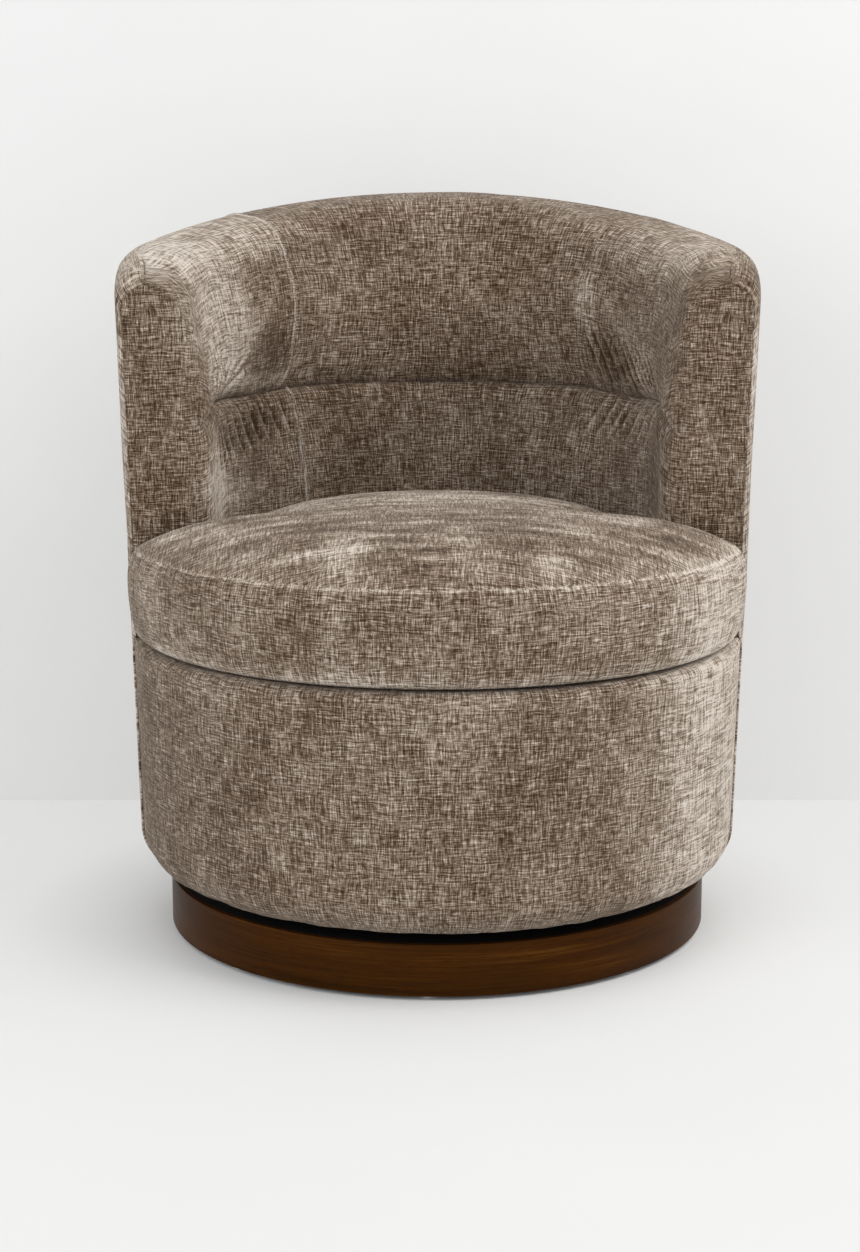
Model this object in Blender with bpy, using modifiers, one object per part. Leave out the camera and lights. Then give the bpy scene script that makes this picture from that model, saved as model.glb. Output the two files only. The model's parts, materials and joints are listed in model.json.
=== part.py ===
"""Swivel tub chair: a round plinth, a ball-race swivel, an upholstered drum and tub, and a loose seat cushion.

Metres, +Z up. The origin is on the floor, on the swivel axis. The chair faces -Y.
"""

import math

import bmesh
import bpy
from mathutils import Vector

# Clearances
GAP = 0.0003
PIVOT_CLEARANCE = 0.0003
SEAM_GAP = 0.0014
COVER_EASE = 0.0012

# Plinth
PLINTH_RADIUS = 0.300
BAND_HEIGHT = 0.0555
BAND_THICKNESS = 0.006
CORE_WIDTH = 0.022
CORE_HEIGHT = 0.036
BOARD_THICKNESS = 0.018
GLIDE_RADIUS = 0.010
GLIDE_FACE_RADIUS = 0.0078
GLIDE_HEIGHT = 0.0042
GLIDE_COUNT = 8
GLIDE_TURN = math.radians(-2)

# Swivel
PLATE_MARGIN = 0.020
PLATE_THICKNESS = 0.0025
RACE_RADIUS = 0.120
BALL_RADIUS = 0.004
BALL_COUNT = 12
RIDGE_HEIGHT = 0.0018
RIDGE_WIDTH = 0.0016
RIDGE_CLEARANCE = 0.0008
CAGE_WIDTH = 0.020
CAGE_THICKNESS = 0.0012
PIVOT_RADIUS = 0.008
PIVOT_HEAD_RADIUS = 0.013
PIVOT_HEAD_HEIGHT = 0.003
FASTENER_COUNT = 4
SCREW_SETBACK = 0.025
SCREW_RADIUS = 0.0025
SCREW_LENGTH = 0.012
BOLT_SETBACK = 0.050
BOLT_RADIUS = 0.003
HEAD_HEIGHT = 0.002
HEAD_RADIUS = 0.0055

# Drum
DRUM_BOTTOM_LEVEL = 0.118
DRUM_TAPER = 0.0059
DRUM_TOP_LEVEL = 0.312
DRUM_ROUND = 0.0425
BASE_SETBACK = 0.0013
POST_DEPTH = 0.035
POST_WIDTH = 0.050
POST_COUNT = 4
DRUM_SKIN_THICKNESS = 0.0035
DRUM_SKIN_SETBACK = 0.004
DRUM_SKIN_STEP = 0.0289
SEAT_RING_LEVEL = 0.2953
SEAT_RING_SETBACK = 0.017
SEAT_RING_WIDTH = 0.080
SEAT_RING_THICKNESS = 0.018
COVER_THICKNESS = 0.0025
HEM_WIDTH = 0.018
DUST_COVER_THICKNESS = 0.001
DUST_COVER_MARGIN = 0.010

# Seat deck
STRAP_WIDTH = 0.050
STRAP_THICKNESS = 0.0015
STRAP_OFFSET = 0.075
STRAP_EASE = 0.010
DECK_CLEARANCE = 0.0035
DECK_LEVEL = 0.3297
EDGE_ROUND = 0.012
FLANGE_SETBACK = 0.003
EDGE_PAD_SHARE = 0.994

# Tub
TUB_TOP_RADIUS = 0.346
TUB_FLARE = 0.0103
TUB_TOP_DROP = 0.104
WALL_THICKNESS = 0.100
BACK_HEIGHT = 0.804
ARM_DROP = 0.061
RIM_POWER = 1.5
ARM_FRONT = 0.050
FRONT_ROUND_INNER = 0.030
FRONT_ROUND_OUTER = 0.010
FRONT_ROUND_TOP = 0.033
FRONT_FADE = 0.030
RIM_OUTER_ROUND = 0.012
RIM_INNER_ROUND = 0.042
RIM_CROWN = 0.004
CHANNEL_DROP = 0.151
CHANNEL_DEPTH = 0.016
CHANNEL_WIDTH = 0.028
CHANNEL_TUCK = 0.004
CHANNEL_FRONT_SHARE = 0.35
PANEL_SEAM = math.radians(46.5)
ROLL_DEPTH = 0.061
RAIL_THICKNESS = 0.018
TOP_RAIL_HEIGHT = 0.022
TOP_RAIL_DEPTH = 0.033
LOWER_RAIL_WIDTH = 0.0421
SKIN_THICKNESS = 0.003
INNER_BOARD_THICKNESS = 0.003
UPRIGHT_ANGLES = (-50, 0, 50)
UPRIGHT_HALF_ANGLE = 4.0
UPRIGHT_THICKNESS = 0.022
STUMP_DEPTH = 0.022
STUMP_THICKNESS = 0.018
STUMP_SETBACK = 0.008
STUMP_TOP_SETBACK = 0.020

# Cushion
CUSHION_OVERHANG = 0.0088
CUSHION_TUB_CLEARANCE = 0.0025
CUSHION_ARM_CLEARANCE = 0.0045
CUSHION_SEAM_LEVEL = 0.432
CUSHION_CROWN = 0.046
CUSHION_CROWN_POWER = 4.5
CUSHION_BULGE_LEVEL = 0.402
CUSHION_SEAM_DRAW = 0.0075
CUSHION_FOOT_DRAW = 0.010
CUSHION_FOOT_SHARE = 0.85
CUSHION_TOP_SHARES = (1.0, 0.90, 0.70, 0.38)
CUSHION_MIDDLE = -0.11
CUSHION_EAR_ROUND = 0.022
CUSHION_NOTCH_ROUND = 0.012
CUSHION_COVER_THICKNESS = 0.0025
CUSHION_CORE_CLEARANCE = 0.0038
ZIP_LEVEL = 0.374
ZIP_HEIGHT = 0.008
ZIP_HALF_ANGLE = math.radians(42)
ZIP_RING = 3
ZIP_DRAW = 0.0012
ZIP_END = math.radians(5)
TAPE_THICKNESS = 0.001
SLIDER_START = math.radians(2)
SLIDER_HALF_ANGLE = math.radians(1.4)
SLIDER_THICKNESS = 0.0018
NECK_HEIGHT = 0.0024
TAB_LENGTH = 0.018
TAB_THICKNESS = 0.001

# Steps round each turned piece
BAND_STEPS = 56
ROUND_STEPS = 44
PLATE_STEPS = 24
PIVOT_STEPS = 20
GLIDE_STEPS = 12
FASTENER_STEPS = 8
FRONT_STEPS = 20
BACK_CUTS = 5
ARM_CUTS = 5
STRAIGHT_SHARE = 0.91
ZIP_STEPS = 12
CUSHION_BACK_CUTS = 10
CUSHION_FRONT_CUTS = 9

# Radii and levels worked out from the sizes above
BAND_BOTTOM = GLIDE_HEIGHT + GAP
BAND_TOP = BAND_BOTTOM + BAND_HEIGHT
CORE_RADIUS = PLINTH_RADIUS - BAND_THICKNESS - GAP
CORE_TOP = BAND_BOTTOM + CORE_HEIGHT
BOARD_BOTTOM = CORE_TOP + GAP
BOARD_TOP = BOARD_BOTTOM + BOARD_THICKNESS
PLATE_RADIUS = RACE_RADIUS + PLATE_MARGIN
SCREW_CIRCLE = RACE_RADIUS - SCREW_SETBACK
BOLT_CIRCLE = RACE_RADIUS - BOLT_SETBACK
LOWER_PLATE_BOTTOM = BOARD_TOP + GAP
LOWER_PLATE_TOP = LOWER_PLATE_BOTTOM + PLATE_THICKNESS
BALL_LEVEL = LOWER_PLATE_TOP + GAP + BALL_RADIUS
UPPER_PLATE_BOTTOM = BALL_LEVEL + BALL_RADIUS + GAP
UPPER_PLATE_TOP = UPPER_PLATE_BOTTOM + PLATE_THICKNESS
BASE_BOTTOM = UPPER_PLATE_TOP + GAP
BASE_TOP = BASE_BOTTOM + BOARD_THICKNESS
DRUM_UNDERSIDE = BASE_BOTTOM - GAP - COVER_THICKNESS
SEAT_RING_TOP = SEAT_RING_LEVEL + SEAT_RING_THICKNESS
DRUM_TOP_RADIUS = TUB_TOP_RADIUS - TUB_FLARE
DRUM_BOTTOM_RADIUS = DRUM_TOP_RADIUS - DRUM_TAPER
CUSHION_FRONT_RADIUS = DRUM_TOP_RADIUS + CUSHION_OVERHANG
BASE_BOARD_RADIUS = DRUM_BOTTOM_RADIUS - DRUM_ROUND - BASE_SETBACK
HEM_RADIUS = BASE_BOARD_RADIUS - HEM_WIDTH
SEAT_RING_RADIUS = DRUM_TOP_RADIUS - SEAT_RING_SETBACK
SEAT_RING_HOLE = SEAT_RING_RADIUS - SEAT_RING_WIDTH
DRUM_SKIN_RADIUS = BASE_BOARD_RADIUS + GAP + DRUM_SKIN_THICKNESS
DRUM_SKIN_TOP_RADIUS = SEAT_RING_RADIUS - DRUM_SKIN_STEP
TUB_TOP_LEVEL = BACK_HEIGHT - TUB_TOP_DROP
TUB_INNER_RADIUS = TUB_TOP_RADIUS - WALL_THICKNESS
ARM_HEIGHT = BACK_HEIGHT - ARM_DROP
CHANNEL_LEVEL = ARM_HEIGHT - CHANNEL_DROP
RAIL_INNER_RADIUS = TUB_INNER_RADIUS + ROLL_DEPTH
STUMP_INNER_RADIUS = TUB_INNER_RADIUS + STUMP_DEPTH
CUSHION_BACK_RADIUS = TUB_INNER_RADIUS - CUSHION_TUB_CLEARANCE
STRAP_LEVEL = SEAT_RING_TOP + GAP + STRAP_THICKNESS
DECK_PAD_BOTTOM = STRAP_LEVEL + STRAP_THICKNESS + GAP
RAIL_BOTTOM = SEAT_RING_TOP + GAP
RAIL_TOP = RAIL_BOTTOM + RAIL_THICKNESS
WALL_FOOT = RAIL_TOP + GAP
BOARD_INNER_RADIUS = RAIL_INNER_RADIUS - GAP - INNER_BOARD_THICKNESS
FOAM_BACK_RADIUS = BOARD_INNER_RADIUS - GAP
FOAM_INSET = COVER_THICKNESS + GAP + COVER_EASE
PAD_BACK = STUMP_SETBACK + STUMP_THICKNESS + 2 * GAP
CUSHION_BOTTOM = DECK_LEVEL + GAP
LOWER_RAIL_INNER = DRUM_TOP_RADIUS - COVER_THICKNESS - SKIN_THICKNESS - 4 * GAP - LOWER_RAIL_WIDTH
DECK_RADIUS = LOWER_RAIL_INNER - DECK_CLEARANCE
EDGE_PAD_RADIUS = DECK_RADIUS + DECK_CLEARANCE
FLANGE_RADIUS = EDGE_PAD_RADIUS + FLANGE_SETBACK
STRAP_REACH = math.sqrt((DECK_RADIUS - GAP) ** 2 - (STRAP_OFFSET + STRAP_WIDTH / 2) ** 2)
FRONT_LEVEL = DRUM_TOP_LEVEL + FRONT_FADE

parts = None
cutters = None


def clear_scene():
    for old in list(bpy.data.objects):
        bpy.data.objects.remove(old)


def new_collection(name):
    made = bpy.data.collections.new(name)
    bpy.context.scene.collection.children.link(made)
    return made


def material(name, color, roughness, metallic=0.0):
    made = bpy.data.materials.new(name)
    made.use_nodes = True
    shader = made.node_tree.nodes["Principled BSDF"]
    shader.inputs["Base Color"].default_value = (*color, 1)
    shader.inputs["Roughness"].default_value = roughness
    shader.inputs["Metallic"].default_value = metallic
    return made


def add_object(name, mesh, finish):
    made = bpy.data.objects.new(name, mesh)
    parts.objects.link(made)
    mesh.materials.append(finish)
    return made


def add_cutter(name, mesh):
    made = bpy.data.objects.new(name, mesh)
    cutters.objects.link(made)
    made.hide_render = True
    made.display_type = "WIRE"
    return made


def mesh_from(bm, name, smooth=True):
    mesh = bpy.data.meshes.new(name)
    bm.to_mesh(mesh)
    bm.free()
    if smooth:
        mesh.shade_smooth()
        mesh.set_sharp_from_angle(angle=math.radians(35))
    return mesh


def boolean(target, cutter, operation="DIFFERENCE"):
    cut = target.modifiers.new("Boolean", "BOOLEAN")
    cut.operation = operation
    cut.object = cutter


def turned(name, profile, finish, steps, closed=True):
    """A solid turned about Z from an outline of (radius, height), down the outer side first."""
    bm = bmesh.new()
    points = [bm.verts.new((r, 0, z)) for r, z in profile]
    for a, b in zip(points, points[1:]):
        bm.edges.new((a, b))
    if closed:
        bm.edges.new((points[-1], points[0]))
    made = add_object(name, mesh_from(bm, name, smooth=False), finish)
    screw = made.modifiers.new("Screw", "SCREW")
    screw.steps = steps
    screw.render_steps = steps
    screw.use_merge_vertices = True
    screw.merge_threshold = 0.00005
    screw.use_smooth_shade = True
    return made


def ring_profile(inner, outer, bottom, top):
    return [(outer, top), (outer, bottom), (inner, bottom), (inner, top)]


def holes(name, radius, circle, count, turn=0.0):
    """Upright cylinders on a circle, from the floor to above the base board, as one cutter."""
    bm = bmesh.new()
    for i in range(count):
        angle = turn + 2 * math.pi * i / count
        made = bmesh.ops.create_cone(
            bm, cap_ends=True, segments=8, radius1=radius, radius2=radius, depth=2 * BASE_TOP
        )
        place = Vector((circle * math.cos(angle), circle * math.sin(angle), BASE_TOP))
        bmesh.ops.translate(bm, verts=made["verts"], vec=place)
    return add_cutter(name, mesh_from(bm, name, smooth=False))


# The upholstered wall, as a sweep round the back from arm front to arm front


class Station:
    """A cut across the wall, on the side its angle is on.

    share runs from 0 at the back to 1 at the arm's front, and back_off is a way back from there.
    """

    def __init__(self, angle, share, back_off=0.0):
        self.side = -1 if angle < 0 else 1
        self.share = share
        self.back_off = back_off

    def place(self, radius, height, front_inset=0.0):
        end = math.pi / 2 + math.asin((ARM_FRONT - front_inset) / radius)
        turn = end * self.share - self.back_off / radius
        return Vector((self.side * radius * math.sin(turn), radius * math.cos(turn), height))

    def turn(self):
        end = math.pi / 2 + math.asin(ARM_FRONT / TUB_TOP_RADIUS)
        return end * self.share - self.back_off / TUB_TOP_RADIUS

    def rounding(self, radius, inset):
        """How far a rounded front edge has drawn in at this cut, on a layer that lies inset deep."""
        reach = radius - inset
        if self.share < 1 or self.back_off >= reach:
            return 0.0
        return reach - math.sqrt(reach**2 - (reach - self.back_off) ** 2)


def seam_share():
    return PANEL_SEAM / (math.pi / 2 + math.asin(ARM_FRONT / TUB_TOP_RADIUS))


def back_shares(end):
    return [end * i / BACK_CUTS for i in range(BACK_CUTS + 1)]


def arm_shares(start):
    return [start + (STRAIGHT_SHARE - start) * i / ARM_CUTS for i in range(ARM_CUTS + 1)]


def wall_stations(front_offs):
    """Cuts over the right half, from the middle of the back to the arm's front."""
    shares = back_shares(seam_share()) + arm_shares(seam_share())[1:]
    return [Station(1, share) for share in shares] + [Station(1, 1.0, off) for off in front_offs]


def both_arms(half):
    """The same cuts on both sides, from the left arm to the right."""
    left = []
    for station in reversed(half[1:]):
        other = Station(-1, station.share, station.back_off)
        left.append(other)
    return left + half


def round_offs(radius, angles):
    """The ways to the arm's front of cuts at these angles round its inner corner."""
    return [radius * (1 - math.sin(math.radians(angle))) for angle in angles]


FRONT_OFFS = round_offs(FRONT_ROUND_INNER, (0, 25, 50, 70, 90))


def outer_radius(height):
    if height < DRUM_TOP_LEVEL:
        share = (height - DRUM_BOTTOM_LEVEL) / (DRUM_TOP_LEVEL - DRUM_BOTTOM_LEVEL)
        return DRUM_BOTTOM_RADIUS + share * (DRUM_TOP_RADIUS - DRUM_BOTTOM_RADIUS)
    share = min((height - DRUM_TOP_LEVEL) / (TUB_TOP_LEVEL - DRUM_TOP_LEVEL), 1.0)
    return DRUM_TOP_RADIUS + share * (TUB_TOP_RADIUS - DRUM_TOP_RADIUS)


def rim_height(station):
    rise = max(math.cos(station.turn()), 0.0) ** RIM_POWER
    return ARM_HEIGHT + (BACK_HEIGHT - ARM_HEIGHT) * rise


def channel_depth(station, height, inset):
    """The tuck between the upper and lower rolls, fading out at the arm's front."""
    fade = 1.0
    if station.share == 1:
        fade = CHANNEL_FRONT_SHARE + (1 - CHANNEL_FRONT_SHARE) * min((station.back_off + inset) / FRONT_ROUND_INNER, 1.0)
    return CHANNEL_DEPTH * fade * math.exp(-abs(height - CHANNEL_LEVEL) / CHANNEL_WIDTH)


def inner_radius(station, height, inset):
    rounding = station.rounding(FRONT_ROUND_INNER, inset)
    return TUB_INNER_RADIUS + inset + rounding + channel_depth(station, height, inset)


def wall_radius(station, height, inset):
    share = min(max((height - DRUM_TOP_LEVEL) / (FRONT_LEVEL - DRUM_TOP_LEVEL), 0.0), 1.0)
    return outer_radius(height) - inset - share * station.rounding(FRONT_ROUND_OUTER, inset)


def top_height(station, inset):
    return rim_height(station) - inset - station.rounding(FRONT_ROUND_TOP, inset)


def underside_line(inset):
    """The drum's underside and its rounded lower edge, from the hem outwards, as (radius, height)."""
    middle_radius = DRUM_BOTTOM_RADIUS - DRUM_ROUND
    middle_level = DRUM_UNDERSIDE + DRUM_ROUND
    reach = DRUM_ROUND - inset
    line = [(HEM_RADIUS, DRUM_UNDERSIDE + inset)]
    for i in range(5):
        angle = math.radians(-90 + 90 * i / 4)
        line.append((middle_radius + reach * math.cos(angle), middle_level + reach * math.sin(angle)))
    return line


def outside_line(station, inset, foot):
    """The outer face from foot up and over the rim's outer edge, as (radius, height)."""
    top = top_height(station, inset)
    round_off = RIM_OUTER_ROUND - inset
    high = top - round_off
    bend = min(TUB_TOP_LEVEL, high - RIM_OUTER_ROUND)
    line = []
    for height in (foot, (foot + bend) / 2, bend, high):
        line.append((wall_radius(station, height, inset), height))
    middle = line[-1][0] - round_off
    for angle in (30, 60, 90):
        turn = math.radians(angle)
        line.append((middle + round_off * math.cos(turn), top - round_off + round_off * math.sin(turn)))
    return line


def inside_line(station, inset, foot, ceiling=None, seam_gap=0.0):
    """The rim's top and the inner face down to foot; a ceiling leaves out what is above it."""
    top = top_height(station, inset)
    roll = RIM_INNER_ROUND - inset
    outer = outside_line(station, inset, foot)[-1][0]
    line = []
    shoulder = top - RIM_CROWN - roll
    if ceiling is None:
        inner = inner_radius(station, shoulder, inset)
        middle = inner + roll
        line.append((outer - seam_gap, top))
        line.append(((outer + middle) / 2, top - RIM_CROWN / 3))
        for i in range(4):
            turn = math.radians(90 + 22.5 * i)
            line.append((middle + roll * math.cos(turn), top - RIM_CROWN - roll + roll * math.sin(turn)))
    start = shoulder if ceiling is None else ceiling
    shares = (0.0, 0.45, 0.75, 0.92)
    above = [start + (CHANNEL_LEVEL - start) * share for share in shares]
    below = [CHANNEL_LEVEL + (foot - CHANNEL_LEVEL) * share for share in (0.05, 0.15, 0.35, 0.65, 1.0)]
    if ceiling is None:
        heights = above + [CHANNEL_LEVEL] + below
    else:
        heights = [ceiling] + below[1:]
    for height in heights:
        line.append((inner_radius(station, height, inset), height))
    return line


def grid_mesh(name, rows, flip=False, front_caps=()):
    """An open surface through rows of points. front_caps are closed outlines that fill an end."""
    bm = bmesh.new()
    grid = [[bm.verts.new(point) for point in row] for row in rows]
    for row, after in zip(grid, grid[1:]):
        for k in range(len(row) - 1):
            corners = [row[k], row[k + 1], after[k + 1], after[k]]
            bm.faces.new(list(reversed(corners)) if flip else corners)
    for end, extra, reverse in front_caps:
        outline = [bm.verts.new(point) for point in extra] + grid[end]
        bm.faces.new(list(reversed(outline)) if reverse else outline)
    return mesh_from(bm, name)


def cover(name, rows, finish, flip=False, front_caps=(), thickness=COVER_THICKNESS):
    made = add_object(name, grid_mesh(name, rows, flip, front_caps), finish)
    wall = made.modifiers.new("Solidify", "SOLIDIFY")
    wall.thickness = thickness
    wall.offset = -1
    wall.use_even_offset = True
    return made


def swept_mesh(name, sections, closed_loop=False):
    """A closed solid through outlines with the same number of points."""
    bm = bmesh.new()
    rings = [[bm.verts.new(point) for point in section] for section in sections]
    pairs = list(zip(rings, rings[1:]))
    if closed_loop:
        pairs.append((rings[-1], rings[0]))
    for ring, after in pairs:
        for k in range(len(ring)):
            n = (k + 1) % len(ring)
            bm.faces.new([ring[k], ring[n], after[n], after[k]])
    if not closed_loop:
        bm.faces.new(rings[0])
        bm.faces.new(list(reversed(rings[-1])))
    bmesh.ops.recalc_face_normals(bm, faces=bm.faces)
    return mesh_from(bm, name)


def swept(name, stations, outline, finish, front_inset=0.0):
    """A solid swept round the wall: outline gives (radius, height) points at a station."""
    sections = []
    for station in stations:
        sections.append([station.place(r, z, front_inset) for r, z in outline(station)])
    return add_object(name, swept_mesh(name, sections), finish)


# Plinth pieces


def make_plinth(walnut, black, nylon):
    band = ring_profile(PLINTH_RADIUS - BAND_THICKNESS, PLINTH_RADIUS, BAND_BOTTOM, BAND_TOP)
    turned("plinth_band", band, walnut, BAND_STEPS)
    core = ring_profile(CORE_RADIUS - CORE_WIDTH, CORE_RADIUS, BAND_BOTTOM, CORE_TOP)
    turned("plinth_core_ring", core, black, BAND_STEPS)
    board = ring_profile(PIVOT_HEAD_RADIUS + SEAM_GAP, CORE_RADIUS, BOARD_BOTTOM, BOARD_TOP)
    top_board = turned("plinth_top_board", board, black, BAND_STEPS)
    boolean(top_board, holes("screw_holes", SCREW_RADIUS + GAP, SCREW_CIRCLE, FASTENER_COUNT))
    glide_circle = CORE_RADIUS - CORE_WIDTH / 2
    edge = GLIDE_RADIUS - GLIDE_FACE_RADIUS
    profile = [
        (0, GLIDE_HEIGHT),
        (GLIDE_RADIUS, GLIDE_HEIGHT),
        (GLIDE_RADIUS, edge),
        (GLIDE_FACE_RADIUS + edge * 0.7, edge * 0.3),
        (GLIDE_FACE_RADIUS, 0),
        (0, 0),
    ]
    for i in range(GLIDE_COUNT):
        angle = GLIDE_TURN + 2 * math.pi * i / GLIDE_COUNT
        glide = turned(f"glide_{i + 1}", profile, nylon, GLIDE_STEPS, closed=False)
        glide.location = (glide_circle * math.sin(angle), -glide_circle * math.cos(angle), 0)


# Swivel pieces


def plate_profile(face, facing):
    """A pressed disc with two ridges that guide the balls; facing is 1 when the race faces up."""
    back = face - facing * PLATE_THICKNESS
    ridge = face + facing * RIDGE_HEIGHT
    hole = PIVOT_RADIUS + PIVOT_CLEARANCE
    near = BALL_RADIUS + RIDGE_CLEARANCE
    far = near + RIDGE_WIDTH
    profile = [(hole, face)]
    for start, end in ((-far, -near), (near, far)):
        profile += [(RACE_RADIUS + start, face), (RACE_RADIUS + start, ridge)]
        profile += [(RACE_RADIUS + end, ridge), (RACE_RADIUS + end, face)]
    profile += [(PLATE_RADIUS, face), (PLATE_RADIUS, back), (hole, back)]
    return profile if facing > 0 else list(reversed(profile))


def fastener(name, radius, length, head_face, pointing, circle, angle, finish):
    """A round-headed fastener whose shank starts at head_face; pointing is -1 when it points down."""
    bottom, top = sorted((head_face, head_face - pointing * HEAD_HEIGHT))
    tip = head_face + pointing * length
    if pointing < 0:
        profile = [(0, top), (HEAD_RADIUS * 0.6, top), (HEAD_RADIUS, bottom + HEAD_HEIGHT * 0.4)]
        profile += [(HEAD_RADIUS, bottom), (radius, bottom), (radius, tip), (0, tip)]
    else:
        profile = [(0, tip), (radius, tip), (radius, top), (HEAD_RADIUS, top)]
        profile += [(HEAD_RADIUS, top - HEAD_HEIGHT * 0.4), (HEAD_RADIUS * 0.6, bottom), (0, bottom)]
    made = turned(name, profile, finish, FASTENER_STEPS, closed=False)
    made.location = (circle * math.cos(angle), circle * math.sin(angle), 0)


def make_cage(steel):
    low = BALL_LEVEL - CAGE_THICKNESS / 2
    inner = RACE_RADIUS - CAGE_WIDTH / 2
    flat = ring_profile(inner, inner + CAGE_WIDTH, low, low + CAGE_THICKNESS)
    cage = turned("swivel_ball_cage", flat, steel, PLATE_STEPS)
    bm = bmesh.new()
    for i in range(BALL_COUNT):
        angle = 2 * math.pi * i / BALL_COUNT
        ball = bmesh.ops.create_uvsphere(bm, u_segments=8, v_segments=5, radius=BALL_RADIUS)
        place = Vector((RACE_RADIUS * math.cos(angle), RACE_RADIUS * math.sin(angle), BALL_LEVEL))
        bmesh.ops.translate(bm, verts=ball["verts"], vec=place)
    boolean(cage, add_cutter("cage_balls", mesh_from(bm, "cage_balls")), "UNION")


def make_swivel(steel, zinc):
    lower = turned("swivel_lower_plate", plate_profile(LOWER_PLATE_TOP, 1), steel, PLATE_STEPS)
    upper = turned("swivel_upper_plate", plate_profile(UPPER_PLATE_BOTTOM, -1), steel, PLATE_STEPS)
    quarter = math.pi / FASTENER_COUNT
    boolean(lower, holes("lower_plate_holes", SCREW_RADIUS + GAP, SCREW_CIRCLE, FASTENER_COUNT))
    boolean(upper, holes("upper_plate_holes", BOLT_RADIUS + GAP, BOLT_CIRCLE, FASTENER_COUNT, quarter))
    make_cage(steel)
    below = LOWER_PLATE_BOTTOM - GAP
    above = UPPER_PLATE_TOP + GAP
    pivot = [
        (0, above + PIVOT_HEAD_HEIGHT),
        (PIVOT_HEAD_RADIUS, above + PIVOT_HEAD_HEIGHT),
        (PIVOT_HEAD_RADIUS, above),
        (PIVOT_RADIUS, above),
        (PIVOT_RADIUS, below),
        (PIVOT_HEAD_RADIUS, below),
        (PIVOT_HEAD_RADIUS, below - PIVOT_HEAD_HEIGHT),
        (0, below - PIVOT_HEAD_HEIGHT),
    ]
    turned("swivel_pivot", pivot, zinc, PIVOT_STEPS, closed=False)
    bolt_length = PLATE_THICKNESS + BOARD_THICKNESS + 3 * GAP
    for i in range(FASTENER_COUNT):
        angle = 2 * math.pi * i / FASTENER_COUNT
        screw = (SCREW_RADIUS, SCREW_LENGTH, LOWER_PLATE_TOP + GAP, -1)
        fastener(f"lower_plate_screw_{i + 1}", *screw, SCREW_CIRCLE, angle, zinc)
        bolt = (BOLT_RADIUS, bolt_length, UPPER_PLATE_BOTTOM - GAP, 1)
        fastener(f"upper_plate_bolt_{i + 1}", *bolt, BOLT_CIRCLE, angle + quarter, zinc)


# Drum pieces


def box_object(name, size, place, turn, finish):
    bm = bmesh.new()
    bmesh.ops.create_cube(bm, size=1)
    bmesh.ops.scale(bm, vec=size, verts=bm.verts)
    made = add_object(name, mesh_from(bm, name, smooth=False), finish)
    made.location = place
    made.rotation_euler = (0, 0, turn)
    return made


def drum_outer_line(inset):
    """The padding's outer face below the seat ring's top, from the bottom up."""
    line = [point for point in underside_line(inset)[2:]]
    line.append((outer_radius(SEAT_RING_TOP) - inset, SEAT_RING_TOP))
    return line


def make_drum_frame(ply, board, cambric):
    base = ring_profile(PIVOT_HEAD_RADIUS + SEAM_GAP, BASE_BOARD_RADIUS, BASE_BOTTOM, BASE_TOP)
    base_board = turned("base_board", base, ply, ROUND_STEPS)
    quarter = math.pi / FASTENER_COUNT
    boolean(base_board, holes("bolt_holes", BOLT_RADIUS + GAP, BOLT_CIRCLE, FASTENER_COUNT, quarter))
    low = BASE_BOTTOM - GAP - DUST_COVER_THICKNESS
    dust = ring_profile(PLATE_RADIUS + DUST_COVER_MARGIN, HEM_RADIUS - SEAM_GAP, low, BASE_BOTTOM - GAP)
    turned("dust_cover", dust, cambric, ROUND_STEPS)
    post_low = BASE_TOP + GAP
    post_high = SEAT_RING_LEVEL - GAP
    post_room = min(BASE_BOARD_RADIUS, DRUM_SKIN_TOP_RADIUS - DRUM_SKIN_THICKNESS - GAP)
    post_face = math.sqrt(post_room**2 - (POST_WIDTH / 2) ** 2) - GAP
    for i in range(POST_COUNT):
        angle = math.pi / POST_COUNT + 2 * math.pi * i / POST_COUNT
        middle = post_face - POST_DEPTH / 2
        place = (middle * math.cos(angle), middle * math.sin(angle), (post_low + post_high) / 2)
        box_object(f"drum_post_{i + 1}", (POST_DEPTH, POST_WIDTH, post_high - post_low), place, angle, ply)
    seat = ring_profile(SEAT_RING_HOLE, SEAT_RING_RADIUS, SEAT_RING_LEVEL, SEAT_RING_TOP)
    turned("seat_ring", seat, ply, ROUND_STEPS)
    skin_inner = BASE_BOARD_RADIUS + GAP
    skin_low = BASE_BOTTOM + DRUM_SKIN_SETBACK
    skin_top = SEAT_RING_LEVEL - GAP
    skin_top_inner = DRUM_SKIN_TOP_RADIUS - DRUM_SKIN_THICKNESS
    skin = [(DRUM_SKIN_TOP_RADIUS, skin_top), (DRUM_SKIN_RADIUS, skin_low), (skin_inner, skin_low)]
    skin.append((skin_top_inner, skin_top))
    turned("drum_skin_board", skin, board, ROUND_STEPS)


def make_drum_padding(foam):
    outer = drum_outer_line(FOAM_INSET)
    inner = DRUM_SKIN_RADIUS + GAP
    step = SEAT_RING_RADIUS + GAP
    ring_low = SEAT_RING_LEVEL - GAP
    profile = list(reversed([p for p in outer if p[0] > inner]))
    top_inner = DRUM_SKIN_TOP_RADIUS + GAP
    profile += [(inner, profile[-1][1]), (top_inner, ring_low), (step, ring_low), (step, SEAT_RING_TOP)]
    turned("drum_padding", profile, foam, ROUND_STEPS)


def front_place(radius, height, share):
    """A point on the drum's front panel; share runs from -1 at its left edge to 1 at its right."""
    reach = math.pi / 2 - math.asin(ARM_FRONT / radius) - SEAM_GAP / radius
    turn = share * reach
    return Vector((radius * math.sin(turn), -radius * math.cos(turn), height))


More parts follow.
